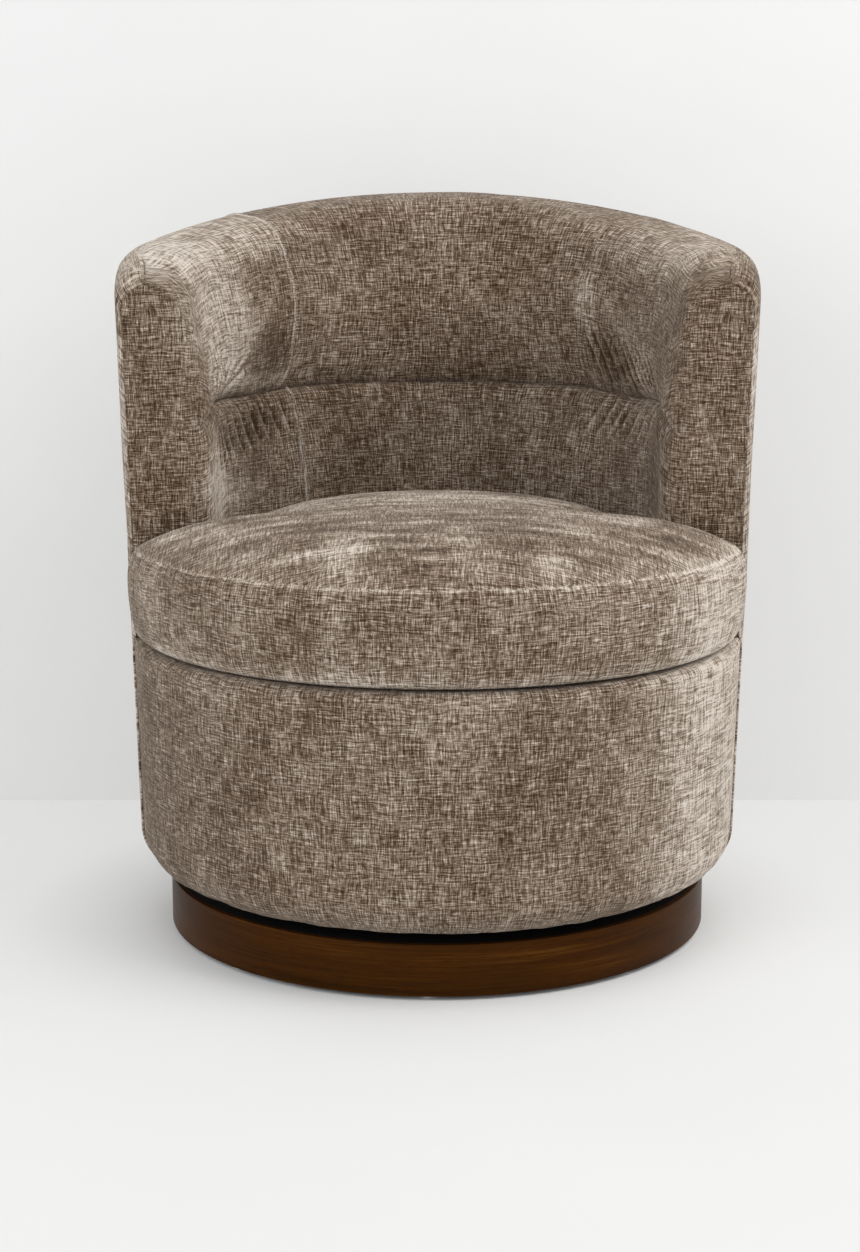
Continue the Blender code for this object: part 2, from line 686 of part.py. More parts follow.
def front_cover_line():
    line = underside_line(0)
    middle = outer_radius(DRUM_TOP_LEVEL) - EDGE_ROUND
    for angle in (0, 30, 60, 90):
        turn = math.radians(angle)
        height = DECK_LEVEL - GAP - EDGE_ROUND + EDGE_ROUND * math.sin(turn)
        line.append((middle + EDGE_ROUND * math.cos(turn), height))
    line.append((FLANGE_RADIUS, DECK_LEVEL - GAP))
    return line


def make_drum_front(fabric, foam):
    shares = [-1 + 2 * i / FRONT_STEPS for i in range(FRONT_STEPS + 1)]
    rows = [[front_place(r, z, share) for r, z in front_cover_line()] for share in shares]
    cover("drum_front_cover", rows, fabric, flip=True)
    middle = outer_radius(DRUM_TOP_LEVEL) - EDGE_ROUND
    reach = EDGE_ROUND - FOAM_INSET
    level = DECK_LEVEL - GAP - EDGE_ROUND
    outline = [(EDGE_PAD_RADIUS, RAIL_BOTTOM), (middle + reach, RAIL_BOTTOM)]
    for angle in (0, 45, 90):
        turn = math.radians(angle)
        outline.append((middle + reach * math.cos(turn), level + reach * math.sin(turn)))
    outline.append((EDGE_PAD_RADIUS, level + reach))
    sections = [[front_place(r, z, share * EDGE_PAD_SHARE) for r, z in outline] for share in shares]
    add_object("front_edge_pad", swept_mesh("front_edge_pad", sections), foam)


# Seat deck


def strap(name, along_x, offset, first_up, finish):
    """A webbing strap, over one crossing and under the other."""
    half = STRAP_WIDTH / 2
    rise = STRAP_THICKNESS / 2 + GAP / 2
    clear = half + STRAP_EASE
    marks = [-STRAP_REACH, -STRAP_OFFSET - clear, -STRAP_OFFSET + clear]
    marks += [STRAP_OFFSET - clear, STRAP_OFFSET + clear, STRAP_REACH]
    lifts = [0.0, first_up * rise, first_up * rise, -first_up * rise, -first_up * rise, 0.0]
    rows = []
    for mark, lift in zip(marks, lifts):
        level = STRAP_LEVEL + lift
        if along_x:
            rows.append([(mark, offset - half, level), (mark, offset + half, level)])
        else:
            rows.append([(offset + half, mark, level), (offset - half, mark, level)])
    made = add_object(name, grid_mesh(name, rows), finish)
    wall = made.modifiers.new("Solidify", "SOLIDIFY")
    wall.thickness = STRAP_THICKNESS
    wall.offset = 0


def make_deck(webbing, platform):
    for i, offset in enumerate((-STRAP_OFFSET, STRAP_OFFSET)):
        up = 1 if i else -1
        strap(f"web_strap_lengthwise_{i + 1}", False, offset, up, webbing)
        strap(f"web_strap_crosswise_{i + 1}", True, offset, -up, webbing)
    profile = [(0, DECK_LEVEL), (DECK_RADIUS, DECK_LEVEL), (DECK_RADIUS, DECK_PAD_BOTTOM), (0, DECK_PAD_BOTTOM)]
    turned("deck_pad", profile, platform, ROUND_STEPS, closed=False)


# Tub frame


def frame_radius(height):
    """How far out the frame reaches under the skin board and the cover."""
    return outer_radius(height) - COVER_THICKNESS - SKIN_THICKNESS - 4 * GAP


def rail_outline(inner, outer, bottom, top):
    return [(outer, bottom), (outer, top), (inner, top), (inner, bottom)]


def make_tub_frame(ply, board):
    half = wall_stations([FRONT_ROUND_INNER, PAD_BACK + GAP])
    full = both_arms(half)
    rail_half = wall_stations([FRONT_ROUND_INNER, STUMP_SETBACK])
    lower_outer = frame_radius(RAIL_BOTTOM)
    lower = rail_outline(LOWER_RAIL_INNER, lower_outer, RAIL_BOTTOM, RAIL_TOP)
    swept("tub_lower_rail", both_arms(rail_half), lambda s: lower, ply)

    def top_rail(station):
        top = rim_height(station) - TOP_RAIL_DEPTH
        bottom = top - TOP_RAIL_HEIGHT
        return rail_outline(RAIL_INNER_RADIUS, frame_radius(bottom), bottom, top)

    swept("tub_top_rail", full, top_rail, ply)
    end = math.pi / 2 + math.asin(ARM_FRONT / TUB_TOP_RADIUS)
    for i, angle in enumerate(UPRIGHT_ANGLES):
        cuts = []
        for edge in (-1, 0, 1):
            turn = math.radians(angle + edge * UPRIGHT_HALF_ANGLE)
            cuts.append(Station(turn, abs(turn) / end))

        def upright(station):
            top = rim_height(station) - TOP_RAIL_DEPTH - TOP_RAIL_HEIGHT - 2 * GAP
            outer = RAIL_INNER_RADIUS + UPRIGHT_THICKNESS
            return rail_outline(RAIL_INNER_RADIUS, outer, WALL_FOOT, top)

        swept(f"tub_upright_{i + 1}", cuts, upright, ply)

    def skin(station):
        top = rim_height(station) - TOP_RAIL_DEPTH
        bottom = RAIL_BOTTOM + GAP
        levels = [bottom, (bottom + top) / 2, TUB_TOP_LEVEL, top]
        far = [(outer_radius(z) - COVER_THICKNESS - 2 * GAP, z) for z in sorted(levels)]
        near = [(r - SKIN_THICKNESS, z) for r, z in reversed(far)]
        return far + near

    swept("tub_skin_board", full, skin, board)

    def inner_board(station):
        top = rim_height(station) - TOP_RAIL_DEPTH
        return rail_outline(BOARD_INNER_RADIUS, RAIL_INNER_RADIUS - GAP, WALL_FOOT, top)

    swept("tub_inner_board", full, inner_board, board)
    for name, side in (("arm_stump_left", -1), ("arm_stump_right", 1)):
        cuts = [Station(side, 1, STUMP_SETBACK + STUMP_THICKNESS), Station(side, 1, STUMP_SETBACK)]
        swept(name, cuts, lambda s: stump_outline(0.0), ply)


def stump_outline(grow):
    top = ARM_HEIGHT - FRONT_ROUND_TOP - STUMP_TOP_SETBACK + grow
    outer = frame_radius(RAIL_BOTTOM) + grow
    bottom = WALL_FOOT if grow == 0 else RAIL_BOTTOM
    return rail_outline(STUMP_INNER_RADIUS - grow, outer, bottom, top)


# Tub padding and covers


def make_tub_foam(foam):
    full = both_arms(wall_stations([FRONT_ROUND_INNER, PAD_BACK + GAP]))

    def lower_roll(station):
        face = inside_line(station, FOAM_INSET, WALL_FOOT, CHANNEL_LEVEL - CHANNEL_TUCK / 2)
        return [(FOAM_BACK_RADIUS, CHANNEL_LEVEL - CHANNEL_TUCK / 2)] + face + [(FOAM_BACK_RADIUS, WALL_FOOT)]

    swept("lower_foam_roll", full, lower_roll, foam)

    def upper_roll(station):
        tuck = CHANNEL_LEVEL + CHANNEL_TUCK / 2
        seat = rim_height(station) - TOP_RAIL_DEPTH + 2 * GAP
        face = [p for p in inside_line(station, FOAM_INSET, WALL_FOOT) if p[1] > tuck]
        over = outside_line(station, FOAM_INSET, WALL_FOOT)[-4:]
        line = [(FOAM_BACK_RADIUS, tuck), (FOAM_BACK_RADIUS, seat), (over[0][0] - GAP, seat)]
        return line + over[:-1] + face + [(inner_radius(station, tuck, FOAM_INSET), tuck)]

    swept("upper_foam_roll", full, upper_roll, foam)
    for name, side in (("arm_front_pad_left", -1), ("arm_front_pad_right", 1)):
        offs = [PAD_BACK - FOAM_INSET] + round_offs(FRONT_ROUND_INNER - FOAM_INSET, (25, 50, 70, 90))
        cuts = [Station(side, 1, off) for off in offs]

        def pad(station):
            outside = outside_line(station, FOAM_INSET, WALL_FOOT)
            return outside[:-1] + inside_line(station, FOAM_INSET, WALL_FOOT)

        made = swept(name, cuts, pad, foam, FOAM_INSET)
        pocket = [Station(side, 1, PAD_BACK + FOAM_INSET), Station(side, 1, STUMP_SETBACK - GAP)]
        sections = [[s.place(r, z) for r, z in stump_outline(GAP)] for s in pocket]
        cutter = add_cutter(f"{name}_pocket", swept_mesh(f"{name}_pocket", sections))
        boolean(made, cutter)


def make_tub_covers(fabric):
    half = wall_stations(FRONT_OFFS)
    rows = []
    for station in both_arms(half):
        line = underside_line(0)
        line.append((outer_radius(DRUM_TOP_LEVEL), DRUM_TOP_LEVEL))
        line += outside_line(station, 0, FRONT_LEVEL)
        rows.append([station.place(r, z) for r, z in line])
    cover("outside_cover", rows, fabric)
    half_gap = SEAM_GAP / TUB_INNER_RADIUS / math.pi
    back_half = [Station(1, share) for share in back_shares(seam_share() - half_gap)]
    rows = []
    for station in both_arms(back_half):
        rows.append([station.place(r, z) for r, z in inside_line(station, 0, WALL_FOOT, None, SEAM_GAP)])
    cover("inside_back_cover", rows, fabric)
    arm_half = [Station(1, share) for share in arm_shares(seam_share() + half_gap)]
    arm_half += [Station(1, 1.0, off) for off in FRONT_OFFS]
    for name, side in (("arm_cover_left", -1), ("arm_cover_right", 1)):
        cuts = [Station(side, s.share, s.back_off) for s in arm_half]
        if side < 0:
            cuts.reverse()
        rows = []
        for station in cuts:
            rows.append([station.place(r, z) for r, z in inside_line(station, 0, WALL_FOOT, None, SEAM_GAP)])
        last = Station(side, 1, 0.0)
        edge = [(wall_radius(last, WALL_FOOT, 0), WALL_FOOT + SEAM_GAP)]
        edge += outside_line(last, SEAM_GAP, FRONT_LEVEL)
        outline = [last.place(r - SEAM_GAP, z - SEAM_GAP) for r, z in edge]
        index = len(rows) - 1 if side > 0 else 0
        cover(name, rows, fabric, False, [(index, outline, side < 0)])


# Cushion


def cushion_outline():
    """Points (x, y, normal x, normal y) round the cushion, from the middle of the back, turning right."""
    line = -ARM_FRONT - CUSHION_ARM_CLEARANCE
    notch = CUSHION_NOTCH_ROUND
    ear = CUSHION_EAR_ROUND
    notch_y = line + notch
    notch_x = math.sqrt((CUSHION_BACK_RADIUS + notch) ** 2 - notch_y**2)
    ear_y = line - ear
    ear_x = math.sqrt((CUSHION_FRONT_RADIUS - ear) ** 2 - ear_y**2)
    half = []
    back_end = math.pi / 2 + math.asin(-notch_y / (CUSHION_BACK_RADIUS + notch))
    for i in range(CUSHION_BACK_CUTS):
        turn = back_end * i / (CUSHION_BACK_CUTS - 1)
        half.append((math.sin(turn), math.cos(turn), CUSHION_BACK_RADIUS))
    points = [(nx * r, ny * r, nx, ny) for nx, ny, r in half]
    start = math.atan2(-notch_y, -notch_x)
    for share in (0.5, 1.0):
        turn = start + (math.radians(270) - start) * share
        cx = math.cos(turn)
        cy = math.sin(turn)
        points.append((notch_x + notch * cx, notch_y + notch * cy, -cx, -cy))
    finish = math.atan2(ear_y, ear_x)
    for share in (0.0, 0.4, 0.75):
        turn = math.pi / 2 + (finish - math.pi / 2) * share
        cx = math.cos(turn)
        cy = math.sin(turn)
        points.append((ear_x + ear * cx, ear_y + ear * cy, cx, cy))
    for i in range(CUSHION_FRONT_CUTS):
        turn = finish + (-math.pi / 2 - finish) * i / (CUSHION_FRONT_CUTS - 1)
        cx = math.cos(turn)
        cy = math.sin(turn)
        points.append((CUSHION_FRONT_RADIUS * cx, CUSHION_FRONT_RADIUS * cy, cx, cy))
    left = [(-x, y, -nx, ny) for x, y, nx, ny in reversed(points[1:-1])]
    return points + left


def cushion_top(x, y, inset):
    """The crowned top's height over a point of the plan."""
    share = min(math.hypot(x, y) / (CUSHION_FRONT_RADIUS - CUSHION_SEAM_DRAW), 1.0)
    return CUSHION_SEAM_LEVEL - inset + CUSHION_CROWN * (1 - share**CUSHION_CROWN_POWER)


def cushion_rings(inset):
    """The side's rings from the bottom's edge to the bulge, as (draw-in, share of the plan, height)."""
    bottom = CUSHION_BOTTOM + inset
    low = ZIP_LEVEL - ZIP_HEIGHT / 2
    high = ZIP_LEVEL + ZIP_HEIGHT / 2
    rings = [(CUSHION_FOOT_DRAW, CUSHION_FOOT_SHARE, bottom), (CUSHION_FOOT_DRAW, 1.0, bottom)]
    rings += [(CUSHION_FOOT_DRAW / 3, 1.0, bottom + CUSHION_FOOT_DRAW)]
    rings += [(ZIP_DRAW, 1.0, low), (ZIP_DRAW, 1.0, high), (0.0, 1.0, CUSHION_BULGE_LEVEL)]
    return [(draw + inset, share, z) for draw, share, z in rings]


def cushion_mesh(name, inset, slot):
    """The cushion's closed form, or its open skin when slot leaves out the zip's strip."""
    centre = Vector((0, CUSHION_MIDDLE, 0))
    outline = cushion_outline()
    bm = bmesh.new()

    def ring(draw, share, level):
        loop = []
        for x, y, nx, ny in outline:
            edge = Vector((x - nx * draw, y - ny * draw, 0))
            place = centre + (edge - centre) * share
            place.z = level(place.x, place.y) if callable(level) else level
            loop.append(bm.verts.new(place))
        return loop

    loops = [ring(*sizes) for sizes in cushion_rings(inset)]
    shoulder = CUSHION_SEAM_DRAW * 0.3 + inset
    loops.append(ring(shoulder, 1.0, lambda x, y: cushion_top(x, y, inset) - CUSHION_SEAM_DRAW))
    for share in CUSHION_TOP_SHARES:
        loops.append(ring(CUSHION_SEAM_DRAW + inset, share, lambda x, y: cushion_top(x, y, inset)))
    count = len(outline)
    for level, (low, high) in enumerate(zip(loops, loops[1:])):
        for k in range(count):
            n = (k + 1) % count
            x, y = outline[k][0] + outline[n][0], outline[k][1] + outline[n][1]
            behind = y > 0 and abs(math.atan2(x, y)) < ZIP_HALF_ANGLE
            if slot and level == ZIP_RING and behind:
                continue
            bm.faces.new([low[n], low[k], high[k], high[n]])
    bottom = bm.verts.new((centre.x, centre.y, CUSHION_BOTTOM + inset))
    top = bm.verts.new((centre.x, centre.y, cushion_top(centre.x, centre.y, inset)))
    for k in range(count):
        n = (k + 1) % count
        bm.faces.new([bottom, loops[0][k], loops[0][n]])
        bm.faces.new([top, loops[-1][n], loops[-1][k]])
    return mesh_from(bm, name)


def arc_band(name, radius_in, radius_out, low, high, start, end, steps, finish):
    """A curved bar about the swivel axis, behind it; angles turn right from +Y."""
    sections = []
    for i in range(steps + 1):
        turn = start + (end - start) * i / steps
        outline = rail_outline(radius_in, radius_out, low, high)
        sections.append([(r * math.sin(turn), r * math.cos(turn), z) for r, z in outline])
    return add_object(name, swept_mesh(name, sections), finish)


def make_cushion(fabric, foam, tape, zinc):
    skin = add_object("cushion_cover", cushion_mesh("cushion_cover", 0.0, True), fabric)
    wall = skin.modifiers.new("Solidify", "SOLIDIFY")
    wall.thickness = CUSHION_COVER_THICKNESS
    wall.offset = -1
    wall.use_even_offset = True
    core_inset = CUSHION_COVER_THICKNESS + CUSHION_CORE_CLEARANCE
    add_object("cushion_foam", cushion_mesh("cushion_foam", core_inset, False), foam)
    tape_out = CUSHION_BACK_RADIUS - ZIP_DRAW - CUSHION_COVER_THICKNESS - GAP
    tape_low = ZIP_LEVEL - ZIP_HEIGHT / 2 + 2 * GAP
    tape_high = ZIP_LEVEL + ZIP_HEIGHT / 2 - 2 * GAP
    reach = ZIP_HALF_ANGLE - ZIP_END
    zip_sizes = (tape_out - TAPE_THICKNESS, tape_out, tape_low, tape_high)
    arc_band("cushion_zip", *zip_sizes, -reach, reach, ZIP_STEPS, tape)
    slider_in = tape_out + GAP
    slider_out = slider_in + SLIDER_THICKNESS
    start = SLIDER_START - reach
    half = SLIDER_HALF_ANGLE
    slider = arc_band(
        "zip_slider", slider_in, slider_out, tape_low, tape_high, start - half, start + half, 1, zinc
    )
    tab_in = CUSHION_BACK_RADIUS + GAP
    tab_out = tab_in + TAB_THICKNESS
    neck_sizes = (slider_out - GAP, tab_out, ZIP_LEVEL - NECK_HEIGHT / 2, ZIP_LEVEL + NECK_HEIGHT / 2)
    neck = arc_band("slider_neck", *neck_sizes, start - half / 2, start + half / 2, 1, zinc)
    tab_sizes = (tab_in, tab_out, ZIP_LEVEL - TAB_LENGTH, ZIP_LEVEL + NECK_HEIGHT)
    tab = arc_band("slider_tab", *tab_sizes, start - half * 0.8, start + half * 0.8, 1, zinc)
    for piece in (neck, tab):
        parts.objects.unlink(piece)
        cutters.objects.link(piece)
        piece.hide_render = True
        piece.display_type = "WIRE"
        boolean(slider, piece, "UNION")


def main():
    global parts, cutters
    clear_scene()
    parts = new_collection("swivel_tub_chair")
    cutters = new_collection("cutters")
    walnut = material("walnut", (0.075, 0.038, 0.018), 0.35)
    black = material("black_paint", (0.01, 0.01, 0.011), 0.7)
    nylon = material("nylon", (0.82, 0.82, 0.80), 0.4)
    steel = material("pressed_steel", (0.45, 0.45, 0.46), 0.35, 1.0)
    zinc = material("zinc_plate", (0.6, 0.6, 0.58), 0.3, 1.0)
    ply = material("plywood", (0.62, 0.45, 0.27), 0.6)
    board = material("fibreboard", (0.35, 0.24, 0.14), 0.8)
    cambric = material("cambric", (0.012, 0.012, 0.013), 0.9)
    fabric = material("chenille", (0.24, 0.19, 0.15), 0.9)
    foam = material("foam", (0.85, 0.80, 0.62), 0.9)
    webbing = material("webbing", (0.08, 0.07, 0.06), 0.8)
    platform = material("platform_cloth", (0.10, 0.085, 0.07), 0.9)
    tape = material("zip_tape", (0.16, 0.13, 0.10), 0.8)
    make_plinth(walnut, black, nylon)
    make_swivel(steel, zinc)
    make_drum_frame(ply, board, cambric)
    make_drum_padding(foam)
    make_drum_front(fabric, foam)
    make_deck(webbing, platform)
    make_tub_frame(ply, board)
    make_tub_foam(foam)
    make_tub_covers(fabric)
    make_cushion(fabric, foam, tape, zinc)


main()
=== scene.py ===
# %% [markdown]
# # A swivel tub chair in brushed chenille
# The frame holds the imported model: every board, screw and pad at its real size.
# This script dresses it. Cloth goes over the pads, lacquer on the plinth, and the
# hidden pieces get the finish they have in a workshop. Lengths are in metres, the
# chair faces -Y, and the origin lies on the floor, on the swivel's axis.

# %% Load the frame
import json
import math

import bmesh
import bpy
import numpy as np
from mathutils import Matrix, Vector, noise
from mathutils.kdtree import KDTree


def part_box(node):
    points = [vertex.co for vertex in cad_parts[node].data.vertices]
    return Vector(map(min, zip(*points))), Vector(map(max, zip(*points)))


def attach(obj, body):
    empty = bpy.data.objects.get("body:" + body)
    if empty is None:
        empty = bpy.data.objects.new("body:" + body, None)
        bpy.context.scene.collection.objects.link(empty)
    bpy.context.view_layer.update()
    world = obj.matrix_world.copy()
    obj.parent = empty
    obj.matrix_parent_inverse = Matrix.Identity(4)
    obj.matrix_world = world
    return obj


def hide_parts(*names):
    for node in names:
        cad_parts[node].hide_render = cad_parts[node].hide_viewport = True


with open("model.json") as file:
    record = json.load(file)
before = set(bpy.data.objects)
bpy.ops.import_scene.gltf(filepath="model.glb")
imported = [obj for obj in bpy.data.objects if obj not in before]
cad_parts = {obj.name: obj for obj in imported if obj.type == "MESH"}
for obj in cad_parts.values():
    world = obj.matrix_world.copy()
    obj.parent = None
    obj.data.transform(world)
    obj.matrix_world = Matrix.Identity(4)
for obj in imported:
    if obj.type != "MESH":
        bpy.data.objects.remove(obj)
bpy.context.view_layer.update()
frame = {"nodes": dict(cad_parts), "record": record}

# %% [markdown]
# ## Sizes
# A few sizes are read off the frame's own nodes, so that the cloth fits what it
# covers.

# %% Sizes from the frame
shell_low, shell_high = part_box("outside_cover")
band_low, band_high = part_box("plinth_band")
deck_low, deck_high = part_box("deck_pad")
cushion_low, cushion_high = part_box("cushion_cover")
TUB_RADIUS = shell_high.x
BACK_TOP = shell_high.z - 0.003
ARM_FRONT = -shell_low.y
UNDERSIDE = shell_low.z
DECK = deck_high.z
BAND_RADIUS = band_high.x
CUSHION_FRONT = -cushion_low.y
CUSHION_BACK = cushion_high.y
CROWN_TOP = cushion_high.z
CUSHION_FOOT = cushion_low.z
print("tub radius", round(TUB_RADIUS, 4), "back", round(BACK_TOP, 4), "deck", round(DECK, 4))

# %% [markdown]
# These are the upholsterer's. The drum widens slowly from its lower edge to the seat,
# and the tub goes on from there. `CLOTH` is the thickness of the chenille, and the
# seam sizes say how deep and how wide the cloth turns in at a seam, and where the
# painted highlight beside it lies. The unevenness of the padding is given by its
# wavelength and its height.

# %% Sizes of the upholstery
INNER_RADIUS = 0.246
ARM_TOP = 0.741
RIM_POWER = 1.5
WALL_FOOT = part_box("lower_foam_roll")[0].z
DRUM_BOTTOM_RADIUS = 0.3298
DRUM_BOTTOM_LEVEL = 0.118
DRUM_TOP_RADIUS = 0.3357
DRUM_TOP_LEVEL = 0.312
TUB_TOP_LEVEL = 0.700
DRUM_ROUND = 0.0425
HEM_RADIUS = 0.268
EDGE_ROUND = 0.012
CLOTH = 0.0024
SEAM_DIP = 0.0020
SEAM_REACH = 0.0045
SEAM_SETTLE = 0.010
# How far from a seam its painted highlight peaks, and its half-width.
SEAM_HIGHLIGHT = 0.0014
OUTSIDE_UNEVEN = (0.11, 0.0012)
BACK_UNEVEN = (0.09, 0.0011)
BACK_UNEVEN_FINE = (0.035, 0.0004)
ARM_UNEVEN = (0.08, 0.0014)
CUSHION_UNEVEN = (0.10, 0.0012)

# %% [markdown]
# ## The camera
# The photograph looks slightly down on the chair from a little above the back's
# height. Focal length, place and pitch were solved on the round rims of the tub,
# drum and plinth, so the ellipses in the render open by the right amount.

# %% Camera
PHOTO_HEIGHT = 1252
FOCAL_PIXELS = 2399
PITCH = math.radians(11.05)
camera_data = bpy.data.cameras.new("camera")
camera_data.sensor_fit = "AUTO"
camera_data.sensor_width = 36
camera_data.lens = FOCAL_PIXELS * camera_data.sensor_width / PHOTO_HEIGHT
camera = bpy.data.objects.new("camera", camera_data)
camera.location = (-0.008, -2.629, 0.845)
camera.rotation_euler = (math.pi / 2 - PITCH, 0, 0)
bpy.context.scene.collection.objects.link(camera)
bpy.context.scene.camera = camera
print("lens", round(camera_data.lens, 2), "mm")

# %% [markdown]
# ## Materials
# A node graph is easier to read when each node is one short call. `Finish` holds one
# material and hands out nodes; colours are given as they look on a screen, and
# turned into the linear values that the shader wants.


# %% A small kit for node materials
def screen_color(red, green, blue):
    """A colour seen on screen, 0 to 255, as linear RGBA."""
    line = []
    for value in (red, green, blue):
        share = value / 255
        line.append(share / 12.92 if share <= 0.04045 else ((share + 0.055) / 1.055) ** 2.4)
    return (*line, 1)


class Finish:
    """One material, with short calls that add its nodes."""

    def __init__(self, name, roughness, metallic=0.0, specular=0.5):
        self.material = bpy.data.materials.new(name)
        self.material.use_nodes = True
        self.tree = self.material.node_tree
        self.shader = self.tree.nodes["Principled BSDF"]
        self.shader.inputs["Roughness"].default_value = roughness
        self.shader.inputs["Metallic"].default_value = metallic
        self.shader.inputs["Specular IOR Level"].default_value = specular

    def node(self, kind, values=(), **settings):
        made = self.tree.nodes.new(kind)
        for key, value in settings.items():
            setattr(made, key, value)
        for key, value in values:
            self.feed(made.inputs[key], value)
        return made

    def feed(self, socket, value):
        if isinstance(value, bpy.types.NodeSocket):
            self.tree.links.new(value, socket)
        else:
            socket.default_value = value

    def mapped(self, source, scale):
        values = [("Vector", source), ("Scale", scale)]
        return self.node("ShaderNodeMapping", values).outputs["Vector"]

    def place(self):
        return self.node("ShaderNodeTexCoord").outputs["Object"]

    def cloth_place(self):
        return self.node("ShaderNodeUVMap", uv_map="cloth").outputs["UV"]

    def noise(self, vector, scale, detail=2.0, roughness=0.5, distortion=0.0):
        values = [("Vector", vector), ("Scale", scale), ("Detail", detail)]
        values += [("Roughness", roughness), ("Distortion", distortion)]
        return self.node("ShaderNodeTexNoise", values).outputs["Fac"]

    def math(self, operation, first, second=0.0, third=0.0):
        values = [(0, first), (1, second), (2, third)]
        return self.node("ShaderNodeMath", values, operation=operation).outputs[0]

    def spread(self, value, low, high, new_low=0.0, new_high=1.0):
        values = [("Value", value), ("From Min", low), ("From Max", high)]
        values += [("To Min", new_low), ("To Max", new_high)]
        return self.node("ShaderNodeMapRange", values).outputs["Result"]

    def ramp(self, value, stops):
        """Colours a value by stops of (value, colour on screen)."""
        made = self.node("ShaderNodeValToRGB", [("Fac", value)])
        elements = made.color_ramp.elements
        while len(elements) < len(stops):
            elements.new(0.5)
        for element, (place, color) in zip(elements, stops):
            element.position = place
            element.color = screen_color(*color)
        return made.outputs["Color"]

    def bump(self, height, distance, strength=1.0):
        values = [("Height", height), ("Distance", distance), ("Strength", strength)]
        made = self.node("ShaderNodeBump", values)
        self.feed(self.shader.inputs["Normal"], made.outputs["Normal"])

    def color(self, value):
        self.feed(self.shader.inputs["Base Color"], value)

    def set(self, socket, value):
        self.feed(self.shader.inputs[socket], value)

    def lift(self, color, share, fade):
        """Mixes in a plain pale colour, for what the camera, gloss and glass see of a backdrop.

        It fades in over the two distances from the axis in fade, so that the shadow under
        the chair stays. From behind, the backdrop is clear, so that a camera there sees
        the chair.
        """
        rays = self.node("ShaderNodeLightPath").outputs
        seen = self.math("MAXIMUM", rays["Is Camera Ray"], rays["Is Glossy Ray"])
        seen = self.math("MAXIMUM", seen, rays["Is Transmission Ray"])
        flat = self.mapped(self.place(), (1, 1, 0))
        away = self.node("ShaderNodeVectorMath", [(0, flat)], operation="LENGTH").outputs["Value"]
        amount = self.math("MULTIPLY", seen, self.spread(away, *fade, 0, share))
        plain = self.node("ShaderNodeEmission", [("Color", color), ("Strength", 1.0)]).outputs[0]
        front = self.mixed(amount, self.shader.outputs[0], plain)
        behind = self.node("ShaderNodeNewGeometry").outputs["Backfacing"]
        clear = self.node("ShaderNodeBsdfTransparent").outputs[0]
        both = self.mixed(behind, front, clear)
        self.tree.links.new(both, self.tree.nodes["Material Output"].inputs["Surface"])

    def mixed(self, share, first, second):
        """Two shaders mixed, with this share of the second."""
        return self.node("ShaderNodeMixShader", [(0, share), (1, first), (2, second)]).outputs[0]


# %% [markdown]
# ## Chenille
# Chenille is woven from fuzzy yarn of uneven thickness. Three things make it look
# right: short slubs that run along both thread directions, cloudy patches where
# the pile has been brushed the other way, and a soft sheen at grazing angles. The
# threads follow the cloth and not the room, so they are drawn in the piece's own
# `cloth` map, which is measured in metres along and across the weave. The brushed
# patches also carry painted light and shade, and each seam gets a painted highlight.


# %% Chenille
def make_chenille():
    finish = Finish("chenille", 0.92, specular=0.12)
    cloth = finish.cloth_place()
    wobble = finish.noise(cloth, 24, 2)
    sideways = finish.spread(wobble, 0, 1, -0.003, 0.003)
    upwards = finish.spread(wobble, 0, 1, 0.003, -0.003)
    shift = finish.node("ShaderNodeCombineXYZ", [("X", sideways), ("Y", upwards)]).outputs[0]
    bend = finish.node("ShaderNodeVectorMath", [(0, cloth), (1, shift)], operation="ADD")
    bent = bend.outputs[0]

    def streaks(along, across, detail):
        """Noise drawn out along the weft and along the warp, from -0.5 to 0.5."""
        low, high = 0.34, 0.66
        weft = finish.noise(finish.mapped(bent, (along, across, 1)), 1, detail, 0.6)
        warp = finish.noise(finish.mapped(bent, (across, along, 1)), 1, detail, 0.6)
        return finish.spread(weft, low, high, -0.5, 0.5), finish.spread(warp, low, high, -0.5, 0.5)

    long_weft, long_warp = streaks(34, 560, 2)
    short_weft, short_warp = streaks(110, 860, 2)
    flat_pile, upright_pile = streaks(24, 300, 3)
    hairs = finish.noise(finish.mapped(bent, (900, 900, 1)), 1, 2, 0.6)
    fuzz = finish.spread(hairs, 0.3, 0.7, -0.5, 0.5)
    clouds = finish.noise(finish.mapped(cloth, (13, 8, 1)), 1, 4, 0.6, 0.6)
    # This attribute holds brushed pile together with painted light and shade; the next holds a
    # painted highlight beside each seam.
    pile_and_painted_light = finish.node("ShaderNodeAttribute", attribute_name="pile_and_painted_light").outputs["Fac"]
    seam = finish.node("ShaderNodeAttribute", attribute_name="seam").outputs["Fac"]
    long_slubs = finish.math("ADD", long_weft, long_warp)
    threads = finish.math("ADD", long_slubs, finish.math("ADD", short_weft, short_warp))
    pile = finish.math("MULTIPLY", finish.math("ADD", flat_pile, upright_pile), pile_and_painted_light)
    value = finish.math("MULTIPLY_ADD", threads, 0.40, 0.36)
    value = finish.math("MULTIPLY_ADD", finish.spread(clouds, 0.3, 0.7, -0.5, 0.5), 0.22, value)
    value = finish.math("MULTIPLY_ADD", pile, 1.3, value)
    value = finish.math("MULTIPLY_ADD", fuzz, 0.16, value)
    # Brushed pile with painted light and shade, then the painted highlight beside each seam.
    value = finish.math("ADD", value, pile_and_painted_light)
    value = finish.math("MULTIPLY_ADD", seam, 0.60, value)
    stops = [
        (0.0, (62, 45, 30)), (0.25, (97, 79, 62)), (0.50, (141, 124, 107)),
        (0.75, (186, 173, 159)), (1.0, (220, 210, 199)),
    ]
    finish.color(finish.ramp(value, stops))
    finish.bump(finish.math("MULTIPLY_ADD", fuzz, 0.5, threads), 0.0008, 0.6)
    finish.set("Sheen Weight", 0.24)
    finish.set("Sheen Roughness", 0.38)
    finish.set("Sheen Tint", screen_color(240, 232, 222))
    return finish.material


chenille = make_chenille()
print("made", chenille.name)

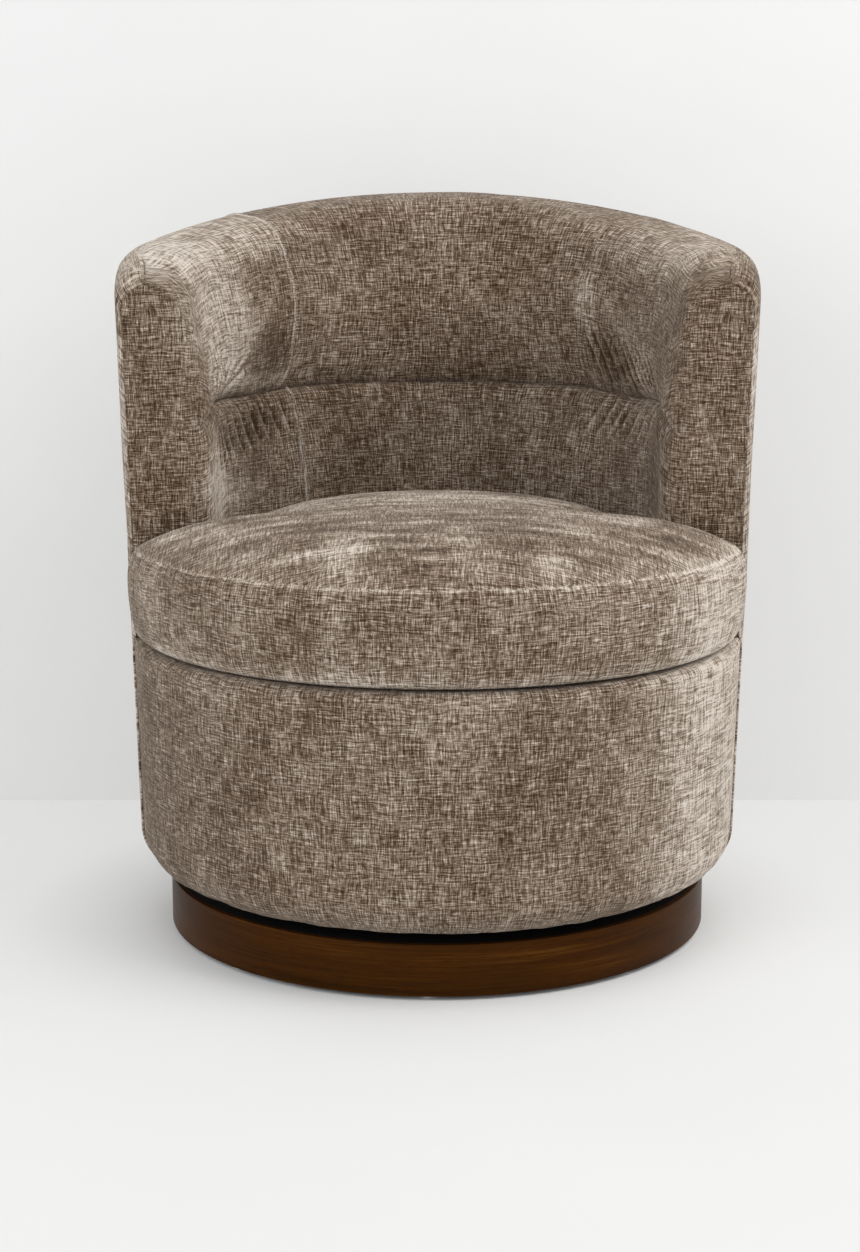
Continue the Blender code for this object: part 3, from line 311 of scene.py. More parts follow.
# %% [markdown]
# ## Lacquered walnut
# The plinth's band is veneer bent round the ring, so the grain runs along it. The
# map on the band is measured along and up the veneer, and the noise is stretched
# many times along the grain. The lacquer is satin: a little rough, and weak in
# gloss. Black paint hides the core, and the glides are white nylon.


# %% Walnut, paint and nylon
def make_walnut():
    finish = Finish("walnut", 0.3, specular=0.05)
    cloth = finish.cloth_place()
    grain = finish.noise(finish.mapped(cloth, (9, 330, 1)), 1, 5, 0.6, 0.5)
    pores = finish.noise(finish.mapped(cloth, (55, 1500, 1)), 1, 2, 0.6)
    bands = finish.noise(finish.mapped(cloth, (2.2, 38, 1)), 1, 3, 0.5, 1.2)
    value = finish.math("MULTIPLY_ADD", grain, 0.45, finish.math("MULTIPLY", bands, 0.5))
    value = finish.math("MULTIPLY_ADD", finish.spread(pores, 0.55, 0.75, 0, -0.22), 1, value)
    stops = [(0.15, (32, 13, 0)), (0.40, (49, 25, 1)), (0.55, (66, 35, 2)), (0.80, (112, 74, 26))]
    finish.color(finish.ramp(value, stops))
    finish.set("Roughness", finish.spread(grain, 0.3, 0.7, 0.30, 0.42))
    finish.bump(finish.math("ADD", pores, grain), 0.0001, 0.4)
    return finish.material


def make_paint():
    finish = Finish("black_paint", 0.75, specular=0.3)
    specks = finish.noise(finish.place(), 900, 3)
    finish.color(finish.ramp(specks, [(0.3, (14, 14, 15)), (0.8, (26, 26, 27))]))
    finish.bump(specks, 0.0002, 0.5)
    return finish.material


def make_nylon():
    finish = Finish("nylon", 0.42)
    scuffs = finish.noise(finish.place(), 260, 4, 0.6)
    finish.color(finish.ramp(scuffs, [(0.3, (206, 205, 200)), (0.7, (236, 236, 233))]))
    finish.bump(scuffs, 0.0001, 0.4)
    finish.set("Subsurface Weight", 0.1)
    finish.set("Subsurface Radius", (0.004, 0.004, 0.004))
    return finish.material


walnut = make_walnut()
black_paint = make_paint()
nylon = make_nylon()
print("made", walnut.name, black_paint.name, nylon.name)

# %% [markdown]
# ## The workshop finishes
# Nobody sees the frame in a shop, but a repairer does. Plywood shows its grain,
# fibreboard its felted fibres, foam its cells, and plated steel its swirls. These
# read Object coordinates, because the pieces come from the frame without a map.


# %% Frame finishes
def make_wood(name, dark, light, scale):
    finish = Finish(name, 0.65, specular=0.3)
    grain = finish.noise(finish.mapped(finish.place(), scale), 1, 5, 0.6, 0.8)
    finish.color(finish.ramp(grain, [(0.3, dark), (0.7, light)]))
    finish.bump(grain, 0.0003, 0.4)
    return finish.material


def make_metal(name, dark, light, roughness):
    finish = Finish(name, roughness, 1.0)
    swirls = finish.noise(finish.place(), 320, 4, 0.6, 1.5)
    finish.color(finish.ramp(swirls, [(0.3, dark), (0.7, light)]))
    finish.set("Roughness", finish.spread(swirls, 0.3, 0.7, roughness - 0.06, roughness + 0.10))
    finish.bump(swirls, 0.0001, 0.3)
    return finish.material


def make_cloth(name, dark, light, pitch):
    finish = Finish(name, 0.92, specular=0.15)
    values = [("Vector", finish.place()), ("Scale", 1 / pitch)]
    threads = finish.node("ShaderNodeTexChecker", values).outputs["Fac"]
    fuzz = finish.noise(finish.place(), 240, 4, 0.6)
    value = finish.math("MULTIPLY_ADD", threads, 0.35, finish.math("MULTIPLY", fuzz, 0.7))
    finish.color(finish.ramp(value, [(0.2, dark), (0.8, light)]))
    finish.bump(value, 0.0003, 0.5)
    return finish.material


def make_foam():
    finish = Finish("foam", 0.95, specular=0.1)
    values = [("Vector", finish.place()), ("Scale", 700)]
    cells = finish.node("ShaderNodeTexVoronoi", values).outputs["Distance"]
    finish.color(finish.ramp(cells, [(0.1, (205, 190, 140)), (0.6, (238, 228, 190))]))
    finish.bump(cells, 0.0005, 0.6)
    return finish.material


plywood = make_wood("plywood", (170, 128, 84), (214, 178, 132), (6, 90, 240))
fibreboard = make_wood("fibreboard", (116, 84, 52), (150, 116, 78), (300, 300, 300))
steel = make_metal("pressed_steel", (120, 121, 124), (172, 173, 176), 0.34)
zinc = make_metal("zinc_plate", (150, 150, 146), (206, 205, 198), 0.28)
cambric = make_cloth("cambric", (12, 12, 13), (34, 34, 36), 0.0016)
webbing = make_cloth("webbing", (44, 40, 36), (84, 76, 68), 0.0030)
platform = make_cloth("platform_cloth", (66, 56, 46), (98, 86, 74), 0.0020)
zip_tape = make_cloth("zip_tape", (84, 72, 60), (122, 108, 94), 0.0012)
foam = make_foam()
SLOT_FINISH = {
    "walnut": walnut, "black_paint": black_paint, "nylon": nylon, "pressed_steel": steel,
    "zinc_plate": zinc, "plywood": plywood, "fibreboard": fibreboard, "cambric": cambric,
    "chenille": chenille, "foam": foam, "webbing": webbing, "platform_cloth": platform,
    "zip_tape": zip_tape,
}

# %% [markdown]
# Every node of the frame names its slot in the record, and takes that slot's finish.

# %% The frame's finishes
for entry in frame["record"]["subparts"]:
    node = frame["nodes"][entry["node"]]
    for held in node.material_slots:
        held.material = SLOT_FINISH[entry["material_slot"]]

# %% [markdown]
# ## The plinth's band
# A bent veneer ring with softened edges. A short profile is drawn once and spun
# round the axis, and the map is laid along the ring so that the grain follows it.


# %% Spun pieces
def add_piece(name, bm, finish, smooth_angle=40):
    mesh = bpy.data.meshes.new(name)
    bm.to_mesh(mesh)
    bm.free()
    mesh.materials.append(finish)
    mesh.shade_smooth()
    mesh.set_sharp_from_angle(angle=math.radians(smooth_angle))
    made = bpy.data.objects.new(name, mesh)
    bpy.context.scene.collection.objects.link(made)
    return made


def spun(profile, steps, closed=True):
    """A ring from (radius, height) points, with the doubles on its axis merged."""
    bm = bmesh.new()
    points = [bm.verts.new((r, 0, z)) for r, z in profile]
    edges = [bm.edges.new(pair) for pair in zip(points, points[1:])]
    if closed:
        edges.append(bm.edges.new((points[-1], points[0])))
    bmesh.ops.spin(
        bm, geom=points + edges, cent=(0, 0, 0), axis=(0, 0, 1), dvec=(0, 0, 0),
        angle=2 * math.pi, steps=steps, use_merge=True,
    )
    bmesh.ops.remove_doubles(bm, verts=bm.verts, dist=0.00001)
    bmesh.ops.recalc_face_normals(bm, faces=bm.faces)
    return bm


def round_edges(bm, width):
    """Rounds every edge where the faces turn by more than 50 degrees."""
    sharp = [e for e in bm.edges if e.is_manifold and e.calc_face_angle() > math.radians(50)]
    bmesh.ops.bevel(
        bm, geom=sharp, offset=width, offset_type="OFFSET", segments=3,
        profile=0.5, affect="EDGES", material=-1,
    )


def wrap_map(bm):
    """The cloth map of a ring: metres round the axis, and metres up or across it."""
    layer = bm.loops.layers.uv.new("cloth")
    for face in bm.faces:
        middle = face.calc_center_median()
        start = math.atan2(middle.y, middle.x)
        for loop in face.loops:
            place = loop.vert.co
            turn = start + math.remainder(math.atan2(place.y, place.x) - start, 2 * math.pi)
            reach = math.hypot(place.x, place.y)
            loop[layer].uv = (turn * BAND_RADIUS, place.z + reach)


BAND_THICKNESS = 0.006
BAND_EDGE = 0.0009


def make_band():
    inner = BAND_RADIUS - BAND_THICKNESS
    low = band_low.z
    high = band_high.z
    bm = spun([(BAND_RADIUS, low), (BAND_RADIUS, high), (inner, high), (inner, low)], 192)
    round_edges(bm, BAND_EDGE)
    wrap_map(bm)
    band = add_piece("walnut_band", bm, walnut)
    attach(band, "plinth")
    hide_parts("plinth_band")
    return band


band = make_band()
print("band", [round(x, 3) for x in band.dimensions])

# %% [markdown]
# ## The glides
# Eight nylon feet are nailed under the ring. One profile is spun for each, with a
# domed edge and a small dimple where the nail went in, and moved to its place.


# %% Glides
GLIDES = 8


def make_glide(number):
    low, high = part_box(f"glide_{number}")
    radius = (high.x - low.x) / 2
    profile = [
        (0, high.z), (radius, high.z), (radius, 0.0020), (radius - 0.0006, 0.0009),
        (radius - 0.0022, 0), (0.0032, 0), (0.0026, 0.0009), (0, 0.0009),
    ]
    bm = spun(profile, 40, closed=False)
    bmesh.ops.translate(bm, verts=bm.verts, vec=((low.x + high.x) / 2, (low.y + high.y) / 2, 0))
    glide = add_piece(f"nylon_glide_{number}", bm, nylon)
    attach(glide, "plinth")
    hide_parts(f"glide_{number}")


for number in range(1, GLIDES + 1):
    make_glide(number)
print("made", GLIDES, "glides")

# %% [markdown]
# ## The lay of the cloth
# The tub is a wall bent round the seat. Any point on it is given by how far it lies
# round the wall, how far out, and how high. Near the front of an arm the distance
# back from the arm's flat face counts instead, so that both arms end in one plane.


# %% Radii and heights of the tub
def outer_radius(height):
    """The outside's radius: the drum widens slowly, and the tub goes on from there."""
    if height < DRUM_TOP_LEVEL:
        share = (height - DRUM_BOTTOM_LEVEL) / (DRUM_TOP_LEVEL - DRUM_BOTTOM_LEVEL)
        return DRUM_BOTTOM_RADIUS + share * (DRUM_TOP_RADIUS - DRUM_BOTTOM_RADIUS)
    share = min((height - DRUM_TOP_LEVEL) / (TUB_TOP_LEVEL - DRUM_TOP_LEVEL), 1.0)
    return DRUM_TOP_RADIUS + share * (TUB_RADIUS - DRUM_TOP_RADIUS)


def front_turn(radius, back_off=0.0):
    """The angle from the back's middle of a point this far back from the arm's face."""
    return math.pi / 2 + math.asin(ARM_FRONT / radius) - back_off / radius


def rim_height(turn):
    """The rim's height, high at the back's middle and level along the arms."""
    return ARM_TOP + (BACK_TOP - ARM_TOP) * max(math.cos(turn), 0.0) ** RIM_POWER


def around(radius, turn, height):
    """The place at this radius and height, turned this far from the back's middle."""
    return Vector((radius * math.sin(turn), radius * math.cos(turn), height))


def smooth_share(value, low, high):
    """0 up to low, 1 from high on, and a smooth step between."""
    share = min(max((value - low) / (high - low), 0.0), 1.0)
    return share * share * (3 - 2 * share)


ARM_SLOPE = 0.020
ARM_SLOPE_REACH = 0.062
ARM_SLOPE_POWER = 1.6
ARM_EDGE_ROUND = 0.010


def arm_drop(back_off):
    """The arm's top slopes down towards its face, and then turns over a small round."""
    drop = ARM_SLOPE * max(1 - back_off / ARM_SLOPE_REACH, 0.0) ** ARM_SLOPE_POWER
    if back_off < ARM_EDGE_ROUND:
        drop += ARM_EDGE_ROUND - math.sqrt(ARM_EDGE_ROUND**2 - (ARM_EDGE_ROUND - back_off) ** 2)
    return drop


def top_level(turn, back_off):
    """The rim's height at an angle, with the arm's slope this far back from its face."""
    return rim_height(turn) - arm_drop(back_off)


print("arm face top", round(top_level(front_turn(TUB_RADIUS), 0.0), 4))

# %% [markdown]
# ## Sampling a line
# Each panel is a grid of points. A column of it starts as a rough line of (radius,
# height) corners and arcs, and is then sampled at even steps, with a few close
# points at each end, where the cloth turns down into its seam.


# %% Even steps along a line
END_MARKS = (0.0008, 0.0019, 0.0034)


def marks_along(length, count):
    """Even distances along a line, with a few close ones at both ends."""
    inner = length - 2 * END_MARKS[-1]
    even = [END_MARKS[-1] + inner * i / count for i in range(1, count)]
    far = [length - mark for mark in reversed(END_MARKS)]
    return [0.0, *END_MARKS, *even, *far, length]


def sampled(line, marks):
    """The points of a line of Vectors at the given distances, scaled to its length."""
    lengths = [0.0]
    for a, b in zip(line, line[1:]):
        lengths.append(lengths[-1] + (b - a).length)
    scale = lengths[-1] / marks[-1]
    points = []
    k = 0
    for mark in marks:
        way = mark * scale
        while k < len(line) - 2 and lengths[k + 1] < way:
            k += 1
        run = lengths[k + 1] - lengths[k]
        points.append(line[k].lerp(line[k + 1], (way - lengths[k]) / run if run else 0.0))
    return points


def arc_points(cx, cz, radius, start, end, count):
    """Points of an arc about (cx, cz), from one angle to another in degrees."""
    points = []
    for i in range(count + 1):
        turn = math.radians(start + (end - start) * i / count)
        points.append(Vector((cx + radius * math.cos(turn), cz + radius * math.sin(turn))))
    return points


# %% [markdown]
# `woven_panel` lays a grid over the points, lifts each along its normal by the
# relief, and turns the cloth in at its seams. Two attributes tell the material how
# the pile is brushed, together with painted light and shade, and where the painted
# highlight beside a seam lies.


# %% A panel of cloth from its columns
def woven_panel(name, columns, flip, relief):
    """columns hold rows of (place, map, way to the nearest seam, its strength, along, height).

    relief says how far the cloth stands out at a point, and its brushed pile with painted light
    and shade.
    """
    wide = len(columns)
    tall = len(columns[0])
    bm = bmesh.new()
    bmesh.ops.create_grid(bm, x_segments=wide - 1, y_segments=tall - 1, size=0.5)
    layer = bm.loops.layers.uv.new("cloth")
    seam_highlight_layer = bm.verts.layers.float.new("seam")
    pile_and_light_layer = bm.verts.layers.float.new("pile_and_painted_light")
    cells = {}
    for vert in bm.verts:
        i = round((vert.co.x + 0.5) * (wide - 1))
        j = round((vert.co.y + 0.5) * (tall - 1))
        cells[vert.index] = columns[i][j]
    for vert in bm.verts:
        vert.co = cells[vert.index][0]
    if flip:
        bmesh.ops.reverse_faces(bm, faces=bm.faces)
    bm.normal_update()
    moved = []
    for vert in bm.verts:
        place, flat, edge, strength, along, height = cells[vert.index]
        rise, pile_and_light = relief(along, height, place)
        rise *= smooth_share(edge, 0.0, SEAM_SETTLE)
        if edge < SEAM_REACH:
            rise -= SEAM_DIP * strength * (1 - edge / SEAM_REACH) ** 2
        moved.append(place + vert.normal * rise)
        # A painted highlight beside the seam.
        vert[seam_highlight_layer] = strength * max(0.0, 1 - abs(edge - SEAM_HIGHLIGHT) / SEAM_HIGHLIGHT)
        # Brushed pile together with painted light and shade.
        vert[pile_and_light_layer] = pile_and_light
    for vert, place in zip(bm.verts, moved):
        vert.co = place
    for face in bm.faces:
        for loop in face.loops:
            loop[layer].uv = cells[loop.vert.index][1]
    made = add_piece(name, bm, chenille, 180)
    wall = made.modifiers.new("Solidify", "SOLIDIFY")
    wall.thickness = CLOTH
    wall.offset = -1
    return made


def nearest_seam(*seams):
    """The nearest of some seams, each a (way to it, strength), as its way and strength."""
    return min(seams, key=lambda seam: seam[0])


def uneven(place, size, height):
    """A slow unevenness, as hand-packed padding has under its cloth."""
    return height * noise.noise(place / size)


# %% [markdown]
# ## The outside
# One length of cloth goes round the back from arm to arm. It starts under the
# drum, turns over the drum's soft lower edge, climbs the outside and ends in the
# seam along the rim, with a last row tucked under the inside's cloth so that no gap
# shows. At each arm it turns a tight corner on to the arm's face, from `CORNER_LOW`
# up. A seam's strength says how deep it looks and how bright its painted highlight is, from 0 to
# 1.


# %% Outside panel
RIM_SEAM = 0.06
FACE_SEAM = 0.0
DRUM_SEAM = 0.04
BACK_SEAM = {-1: 1.0, 1: 0.12}
OUTER_CORNER = 0.004
RIM_ROUND = 0.012
ARM_RIM_ROUND = 0.027
ARM_RIM_REACH = 0.15
RIM_FLAP = 0.007
RIM_FLAP_DROP = 0.0012
CORNER_LOW = 0.312
CORNER_HIGH = 0.340
OUTSIDE_CORNERS = 24
OUTSIDE_STEPS = 200
OUTSIDE_ROWS = 170
OUTSIDE_LENGTH = 0.80
RIPPLE_RISE = 0.0022
RIPPLE_LEVEL = 0.086
RIPPLE_REACH = 0.040
HEM_LIGHT = 0.135


def rim_round(way_back):
    """The radius of the rim's outer edge, which is softer towards the front of an arm."""
    share = 1 - smooth_share(way_back, 0.0, ARM_RIM_REACH)
    return RIM_ROUND + share * (ARM_RIM_ROUND - RIM_ROUND)


def underside_arc():
    """From the hem under the drum, round the drum's lower edge, to its side."""
    middle = Vector((DRUM_BOTTOM_RADIUS - DRUM_ROUND, UNDERSIDE + DRUM_ROUND))
    arc = arc_points(middle.x, middle.y, DRUM_ROUND, -90, 0, 14)
    return [Vector((HEM_RADIUS, UNDERSIDE))] + arc


OUTSIDE_REACH = front_turn(TUB_RADIUS) * TUB_RADIUS


def outside_column(way_back, side, marks, corner):
    """One column of the outside, this far back from the arm's face along the cloth."""
    share = 1 - way_back / OUTSIDE_REACH
    top = top_level(front_turn(TUB_RADIUS, way_back), way_back)
    edge = rim_round(way_back)
    line = underside_arc()
    for i in range(1, OUTSIDE_CORNERS + 1):
        height = DRUM_BOTTOM_LEVEL + (top - edge - DRUM_BOTTOM_LEVEL) * i / OUTSIDE_CORNERS
        line.append(Vector((outer_radius(height), height)))
    last = line[-1]
    line += arc_points(last.x - edge, last.y, edge, 0, 90, 10)[1:]
    column = []
    for mark, point in zip(marks, sampled(line, marks)):
        radius = point.x - corner * smooth_share(point.y, CORNER_LOW, CORNER_HIGH)
        column.append((around(radius, side * front_turn(radius) * share, point.y), mark))
    return column


def ripple(place):
    """Small gathers where the cloth is pulled under the drum's soft edge."""
    turn = math.atan2(place.x, -place.y)
    wave = noise.noise(Vector((turn * 9, 3.1, 0)))
    wave += 0.6 * noise.noise(Vector((turn * 23, 7.7, 0)))
    near = max(0.0, 1 - abs(place.z - RIPPLE_LEVEL) / RIPPLE_REACH)
    return RIPPLE_RISE * wave * near * near


def outside_relief(along, height, place):
    """Lighter near the hem, with painted highlights along the arms' front corners and on the left
    rim's top.
    """
    rise = uneven(place, *OUTSIDE_UNEVEN) + ripple(place)
    pile_and_light = 0.07 * smooth_share(HEM_LIGHT, place.z, 0.20) if place.z < HEM_LIGHT else 0.0
    # A painted highlight along the arms' outer front corners, below the rim.
    edge = smooth_share(abs(along), OUTSIDE_REACH - 0.014, OUTSIDE_REACH - 0.004)
    pile_and_light += 0.30 * edge * (1 - smooth_share(height, 0.640, 0.695))
    # A painted highlight on the top of the left rim.
    pile_and_light += 0.30 * smooth_share(height, 0.690, 0.730) * smooth_share(-place.x, 0.20, 0.28)
    return rise, pile_and_light


def outside_ways():
    """The columns round the tub: side, way back from the face, inset, way to the seam."""
    half = []
    for angle in (90, 68, 45, 22):
        turn = math.radians(angle)
        back = OUTER_CORNER * (1 - math.sin(turn))
        inset = OUTER_CORNER * (1 - math.cos(turn))
        half.append((back, inset, OUTER_CORNER * (math.pi / 2 - turn)))
    start = OUTER_CORNER * math.pi / 2
    steps = OUTSIDE_STEPS // 2
    for i in range(steps + 1):
        run = (OUTSIDE_REACH - OUTER_CORNER) * i / steps
        half.append((OUTER_CORNER + run, 0.0, start + run))
    return [(-1, *one) for one in half] + [(1, *one) for one in reversed(half[:-1])]


def make_outside():
    marks = marks_along(OUTSIDE_LENGTH, OUTSIDE_ROWS)
    grid = []
    for side, way_back, inset, seam_way in outside_ways():
        across = side * (OUTSIDE_REACH - seam_way)
        rows = []
        for place, mark in outside_column(way_back, side, marks, inset):
            side_seam = (seam_way, FACE_SEAM if place.z > CORNER_HIGH else DRUM_SEAM)
            seam = nearest_seam(side_seam, (marks[-1] - mark, RIM_SEAM))
            rows.append((place, (across, mark), *seam, across, place.z))
        inwards = Vector((-place.x, -place.y, 0)).normalized() * RIM_FLAP
        under = place + inwards + Vector((0, 0, -RIM_FLAP_DROP))
        rows.append((under, (across, marks[-1] + RIM_FLAP), 0.0, 0.0, across, place.z))
        grid.append(rows)
    panel = woven_panel("outside_panel", grid, False, outside_relief)
    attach(panel, "seat")
    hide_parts("outside_cover")
    return panel


outside = make_outside()
print("outside", len(outside.data.polygons), "faces")

# %% [markdown]
# ## The inside
# The inside has two fat rolls of padding with a deep tuck between them. Seen in a
# cut, the cloth leaves the rim's seam, runs over the top, turns down over a round
# roll, bellies inwards and dives into the tuck; below it the lower roll starts. The
# tuck is made of two quarter ellipses, so the cloth meets itself at its bottom.

# %% Sizes of the inside
ROLL = 0.042
CROWN = 0.004
CROWN_REACH = 0.046
UPPER_BELLY = 0.010
LOWER_BELLY = -0.0015
LOWER_BELLY_REACH = 0.15
LOWER_SPACING = 1.4
LIP_ABOVE = 0.030
LIP_BELOW = 0.022
INNER_CORNER = 0.030
BACK_TUCK_LEVEL = 0.581
SIDE_TUCK_LEVEL = 0.576
ARM_TUCK_LEVEL = {-1: 0.560, 1: 0.553}
SIDE_TURNS = (0.6, 1.1)
ARM_TURNS = (1.33, 1.68)
BACK_TUCK = 0.011
ARM_TUCK = 0.021
DEEPER_TURNS = (0.75, 1.35)
SEAM_LEVELS = (0.33, 0.485, 0.543, 0.578, 0.592, 0.61, 0.65, 0.68, 0.705, 0.735, 0.765, 0.80)
SEAM_TURNS = (37.0, 39.0, 41.6, 43.4, 46.6, 45.6, 44.4, 43.6, 43.8, 45.4, 47.2, 48.0)
SEAM_LEAN = {-1: 0.0, 1: 1.5}
RIM_CORNERS = 8
UPPER_CORNERS = 48
LOWER_CORNERS = 64
UPPER_ROWS = 96
LOWER_ROWS = 96
UPPER_LENGTH = 0.27
LOWER_LENGTH = 0.26
TUCK_MARK = 0.0016


def seam_turn(side, height):
    """Where the seam between the back and an arm lies, as an angle from the back's middle."""
    degrees = float(np.interp(height, SEAM_LEVELS, SEAM_TURNS)) + SEAM_LEAN[side]
    return math.radians(degrees)


def rim_over(side, share):
    """The rim's height over a line this share of the way from the back's middle to the seam."""
    top = BACK_TOP
    for _ in range(4):
        top = rim_height(share * seam_turn(side, top))
    return top


def tuck_level(side, turn):
    """The tuck's height, which sinks from the back to the side, and on to the arm's front."""
    level = BACK_TUCK_LEVEL
    level += smooth_share(turn, *SIDE_TURNS) * (SIDE_TUCK_LEVEL - BACK_TUCK_LEVEL)
    return level + smooth_share(turn, *ARM_TURNS) * (ARM_TUCK_LEVEL[side] - SIDE_TUCK_LEVEL)


def tuck_depth(turn):
    """How deep the cloth dives in at the tuck, deeper along the arms."""
    return BACK_TUCK + smooth_share(turn, *DEEPER_TURNS) * (ARM_TUCK - BACK_TUCK)


def lip(distance, reach, depth):
    """A quarter ellipse: the whole depth at the tuck, and none from its reach on."""
    share = 1 - min(distance / reach, 1.0)
    return depth * (1 - math.sqrt(max(1 - share * share, 0.0)))


def inside_lines(top, level, depth, belly, lean, edge):
    """The cut of the inside: a line of (radius, height) to the tuck, and one below it."""
    start = Vector((outer_radius(top) - edge, top))
    over = INNER_RADIUS + ROLL + lean
    crown = CROWN * min(max(start.x - over, 0.0) / CROWN_REACH, 1.0)
    upper = []
    for i in range(RIM_CORNERS + 1):
        share = i / RIM_CORNERS
        rise = crown * math.sin(math.pi * share) * (1 - 0.4 * share)
        upper.append(Vector((start.x + (over - start.x) * share, top + rise)))
    upper += arc_points(over, top - ROLL, ROLL, 90, 180, 14)[1:]
    steps = UPPER_CORNERS
    for i in range(1, steps + 1):
        height = top - ROLL + (level - top + ROLL) * i / steps
        bulge = belly * UPPER_BELLY * math.sin(math.pi * i / steps) - lean * (1 - i / steps)
        dive = lip(height - level, LIP_ABOVE, depth)
        upper.append(Vector((INNER_RADIUS - bulge + dive, height)))
    lower = [upper[-1].copy()]
    for i in range(1, LOWER_CORNERS + 1):
        height = level + (WALL_FOOT - level) * (i / LOWER_CORNERS) ** LOWER_SPACING
        share = min((level - height) / LOWER_BELLY_REACH, 1.0)
        bulge = belly * LOWER_BELLY * math.sin(math.pi * share)
        dive = lip(level - height, LIP_BELOW, depth)
        lower.append(Vector((INNER_RADIUS - bulge + dive, height)))
    return upper, lower


def tuck_marks(length, count):
    """Even distances, with the first step divided for the seam and the last for the tuck."""
    step = length / count
    even = [step * i for i in range(1, count)]
    return [0.0, *END_MARKS, *even, length - TUCK_MARK, length]


def inside_points(top, level, depth, belly, lean=0.0, edge=RIM_ROUND):
    """(radius, height, way along the cloth above the tuck) of each row."""
    upper, lower = inside_lines(top, level, depth, belly, lean, edge)
    even = [LOWER_LENGTH * i / LOWER_ROWS for i in range(1, LOWER_ROWS + 1)]
    lower_marks = [0.0, TUCK_MARK, *even]
    rows = sampled(upper, tuck_marks(UPPER_LENGTH, UPPER_ROWS))
    ways = [0.0]
    for a, b in zip(rows, rows[1:]):
        ways.append(ways[-1] + (b - a).length)
    found = [(p.x, p.y, ways[-1] - way) for p, way in zip(rows, ways)]
    way = 0.0
    last = rows[-1]
    for p in sampled(lower, lower_marks)[1:]:
        way += (p - last).length
        last = p
        found.append((p.x, p.y, -way))
    return found


print("rows", len(inside_points(0.743, 0.57, 0.02, 1.0)))

# %% [markdown]
# Some patches of the cloth are lighter or darker: partly where a hand has brushed
# the pile, partly painted light and shade. A patch is given by its amount, its middle
# and its half-sizes, along and up the panel.


# %% Patches of brushed pile and painted light
def patched(pile_and_light, patches, along, height):
    """Adds some patches of brushed pile and painted light to the value at a point. Each fades to
    nothing at its half-sizes.
    """
    for amount, middle, size in patches:
        off = math.hypot((along - middle[0]) / size[0], (height - middle[1]) / size[1])
        pile_and_light += amount * (1 - smooth_share(off, 0.3, 1.0))
    return pile_and_light


# %% [markdown]
# ## The back's inside
# The panel between the two slanting seams. Its columns are spaced along the arc,
# with a few close ones at each seam, where the cloth turns in.


# %% Inside back panel
BACK_REACH = 0.75 * INNER_RADIUS
BACK_TURN = math.radians(43)
BACK_COLUMNS = 92
TUCK_GATHERS = 0.0009
# Patches of brushed pile and painted light near the right seam.
BACK_PATCHES = [
    (0.24, (0.186, 0.685), (0.022, 0.045)),
    (0.22, (0.176, 0.522), (0.010, 0.018)),
]


def back_relief(along, height, place):
    """Uneven padding, with small gathers and painted shade just above the tuck."""
    rise = uneven(place, *BACK_UNEVEN) + uneven(place, *BACK_UNEVEN_FINE)
    near = max(0.0, 1 - abs(height - BACK_TUCK_LEVEL - 0.012) / 0.035)
    rise += TUCK_GATHERS * near * noise.noise(Vector((along * 38, 0.5, 2.0)))
    # Painted shade just above the tuck, then the patches.
    pile_and_light = 0.05 * noise.noise(place * 9) - 0.03 * near
    return rise, patched(pile_and_light, BACK_PATCHES, along, height)


def make_back():
    grid = []
    for mark in marks_along(2 * BACK_REACH, BACK_COLUMNS):
        share = mark / BACK_REACH - 1
        side = -1 if share < 0 else 1
        top = rim_over(side, abs(share))
        turn = abs(share) * BACK_TURN
        points = inside_points(top, tuck_level(side, turn), tuck_depth(turn), 1.0)
        edge = min(mark, 2 * BACK_REACH - mark)
        rows = []
        for radius, height, way in points:
            place = around(radius, share * seam_turn(side, height), height)
            seam = nearest_seam((edge, BACK_SEAM[side]), (points[0][2] - way, RIM_SEAM))
            along = share * BACK_REACH
            rows.append((place, (along, way), *seam, along, height))
        grid.append(rows)
    panel = woven_panel("inside_back_panel", grid, True, back_relief)
    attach(panel, "seat")
    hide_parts("inside_back_cover", "upper_foam_roll", "lower_foam_roll")
    return panel


inside_back = make_back()
print("inside back", len(inside_back.data.polygons), "faces")

# %% [markdown]
# ## The arms
# An arm's panel starts at the slanting seam, follows the wall forward, turns round
# the soft front corner and covers the arm's flat face out to the outside's seam.
# Where the tuck runs out near the corner, the cloth is gathered, and long soft
# folds run away from that point. Each fold is a line on the cloth, given by how far
# back from the face and how high its two ends are, with its height and half-width.
# Folds come in bundles: the first one, the last one, and how many there are.

# %% Folds of the arms
TOP_CORNER = 0.013
ARM_LEAN = 0.021
ARM_LEAN_REACH = 0.16
CORNER_COLUMNS = 14
ARM_STEPS = 96
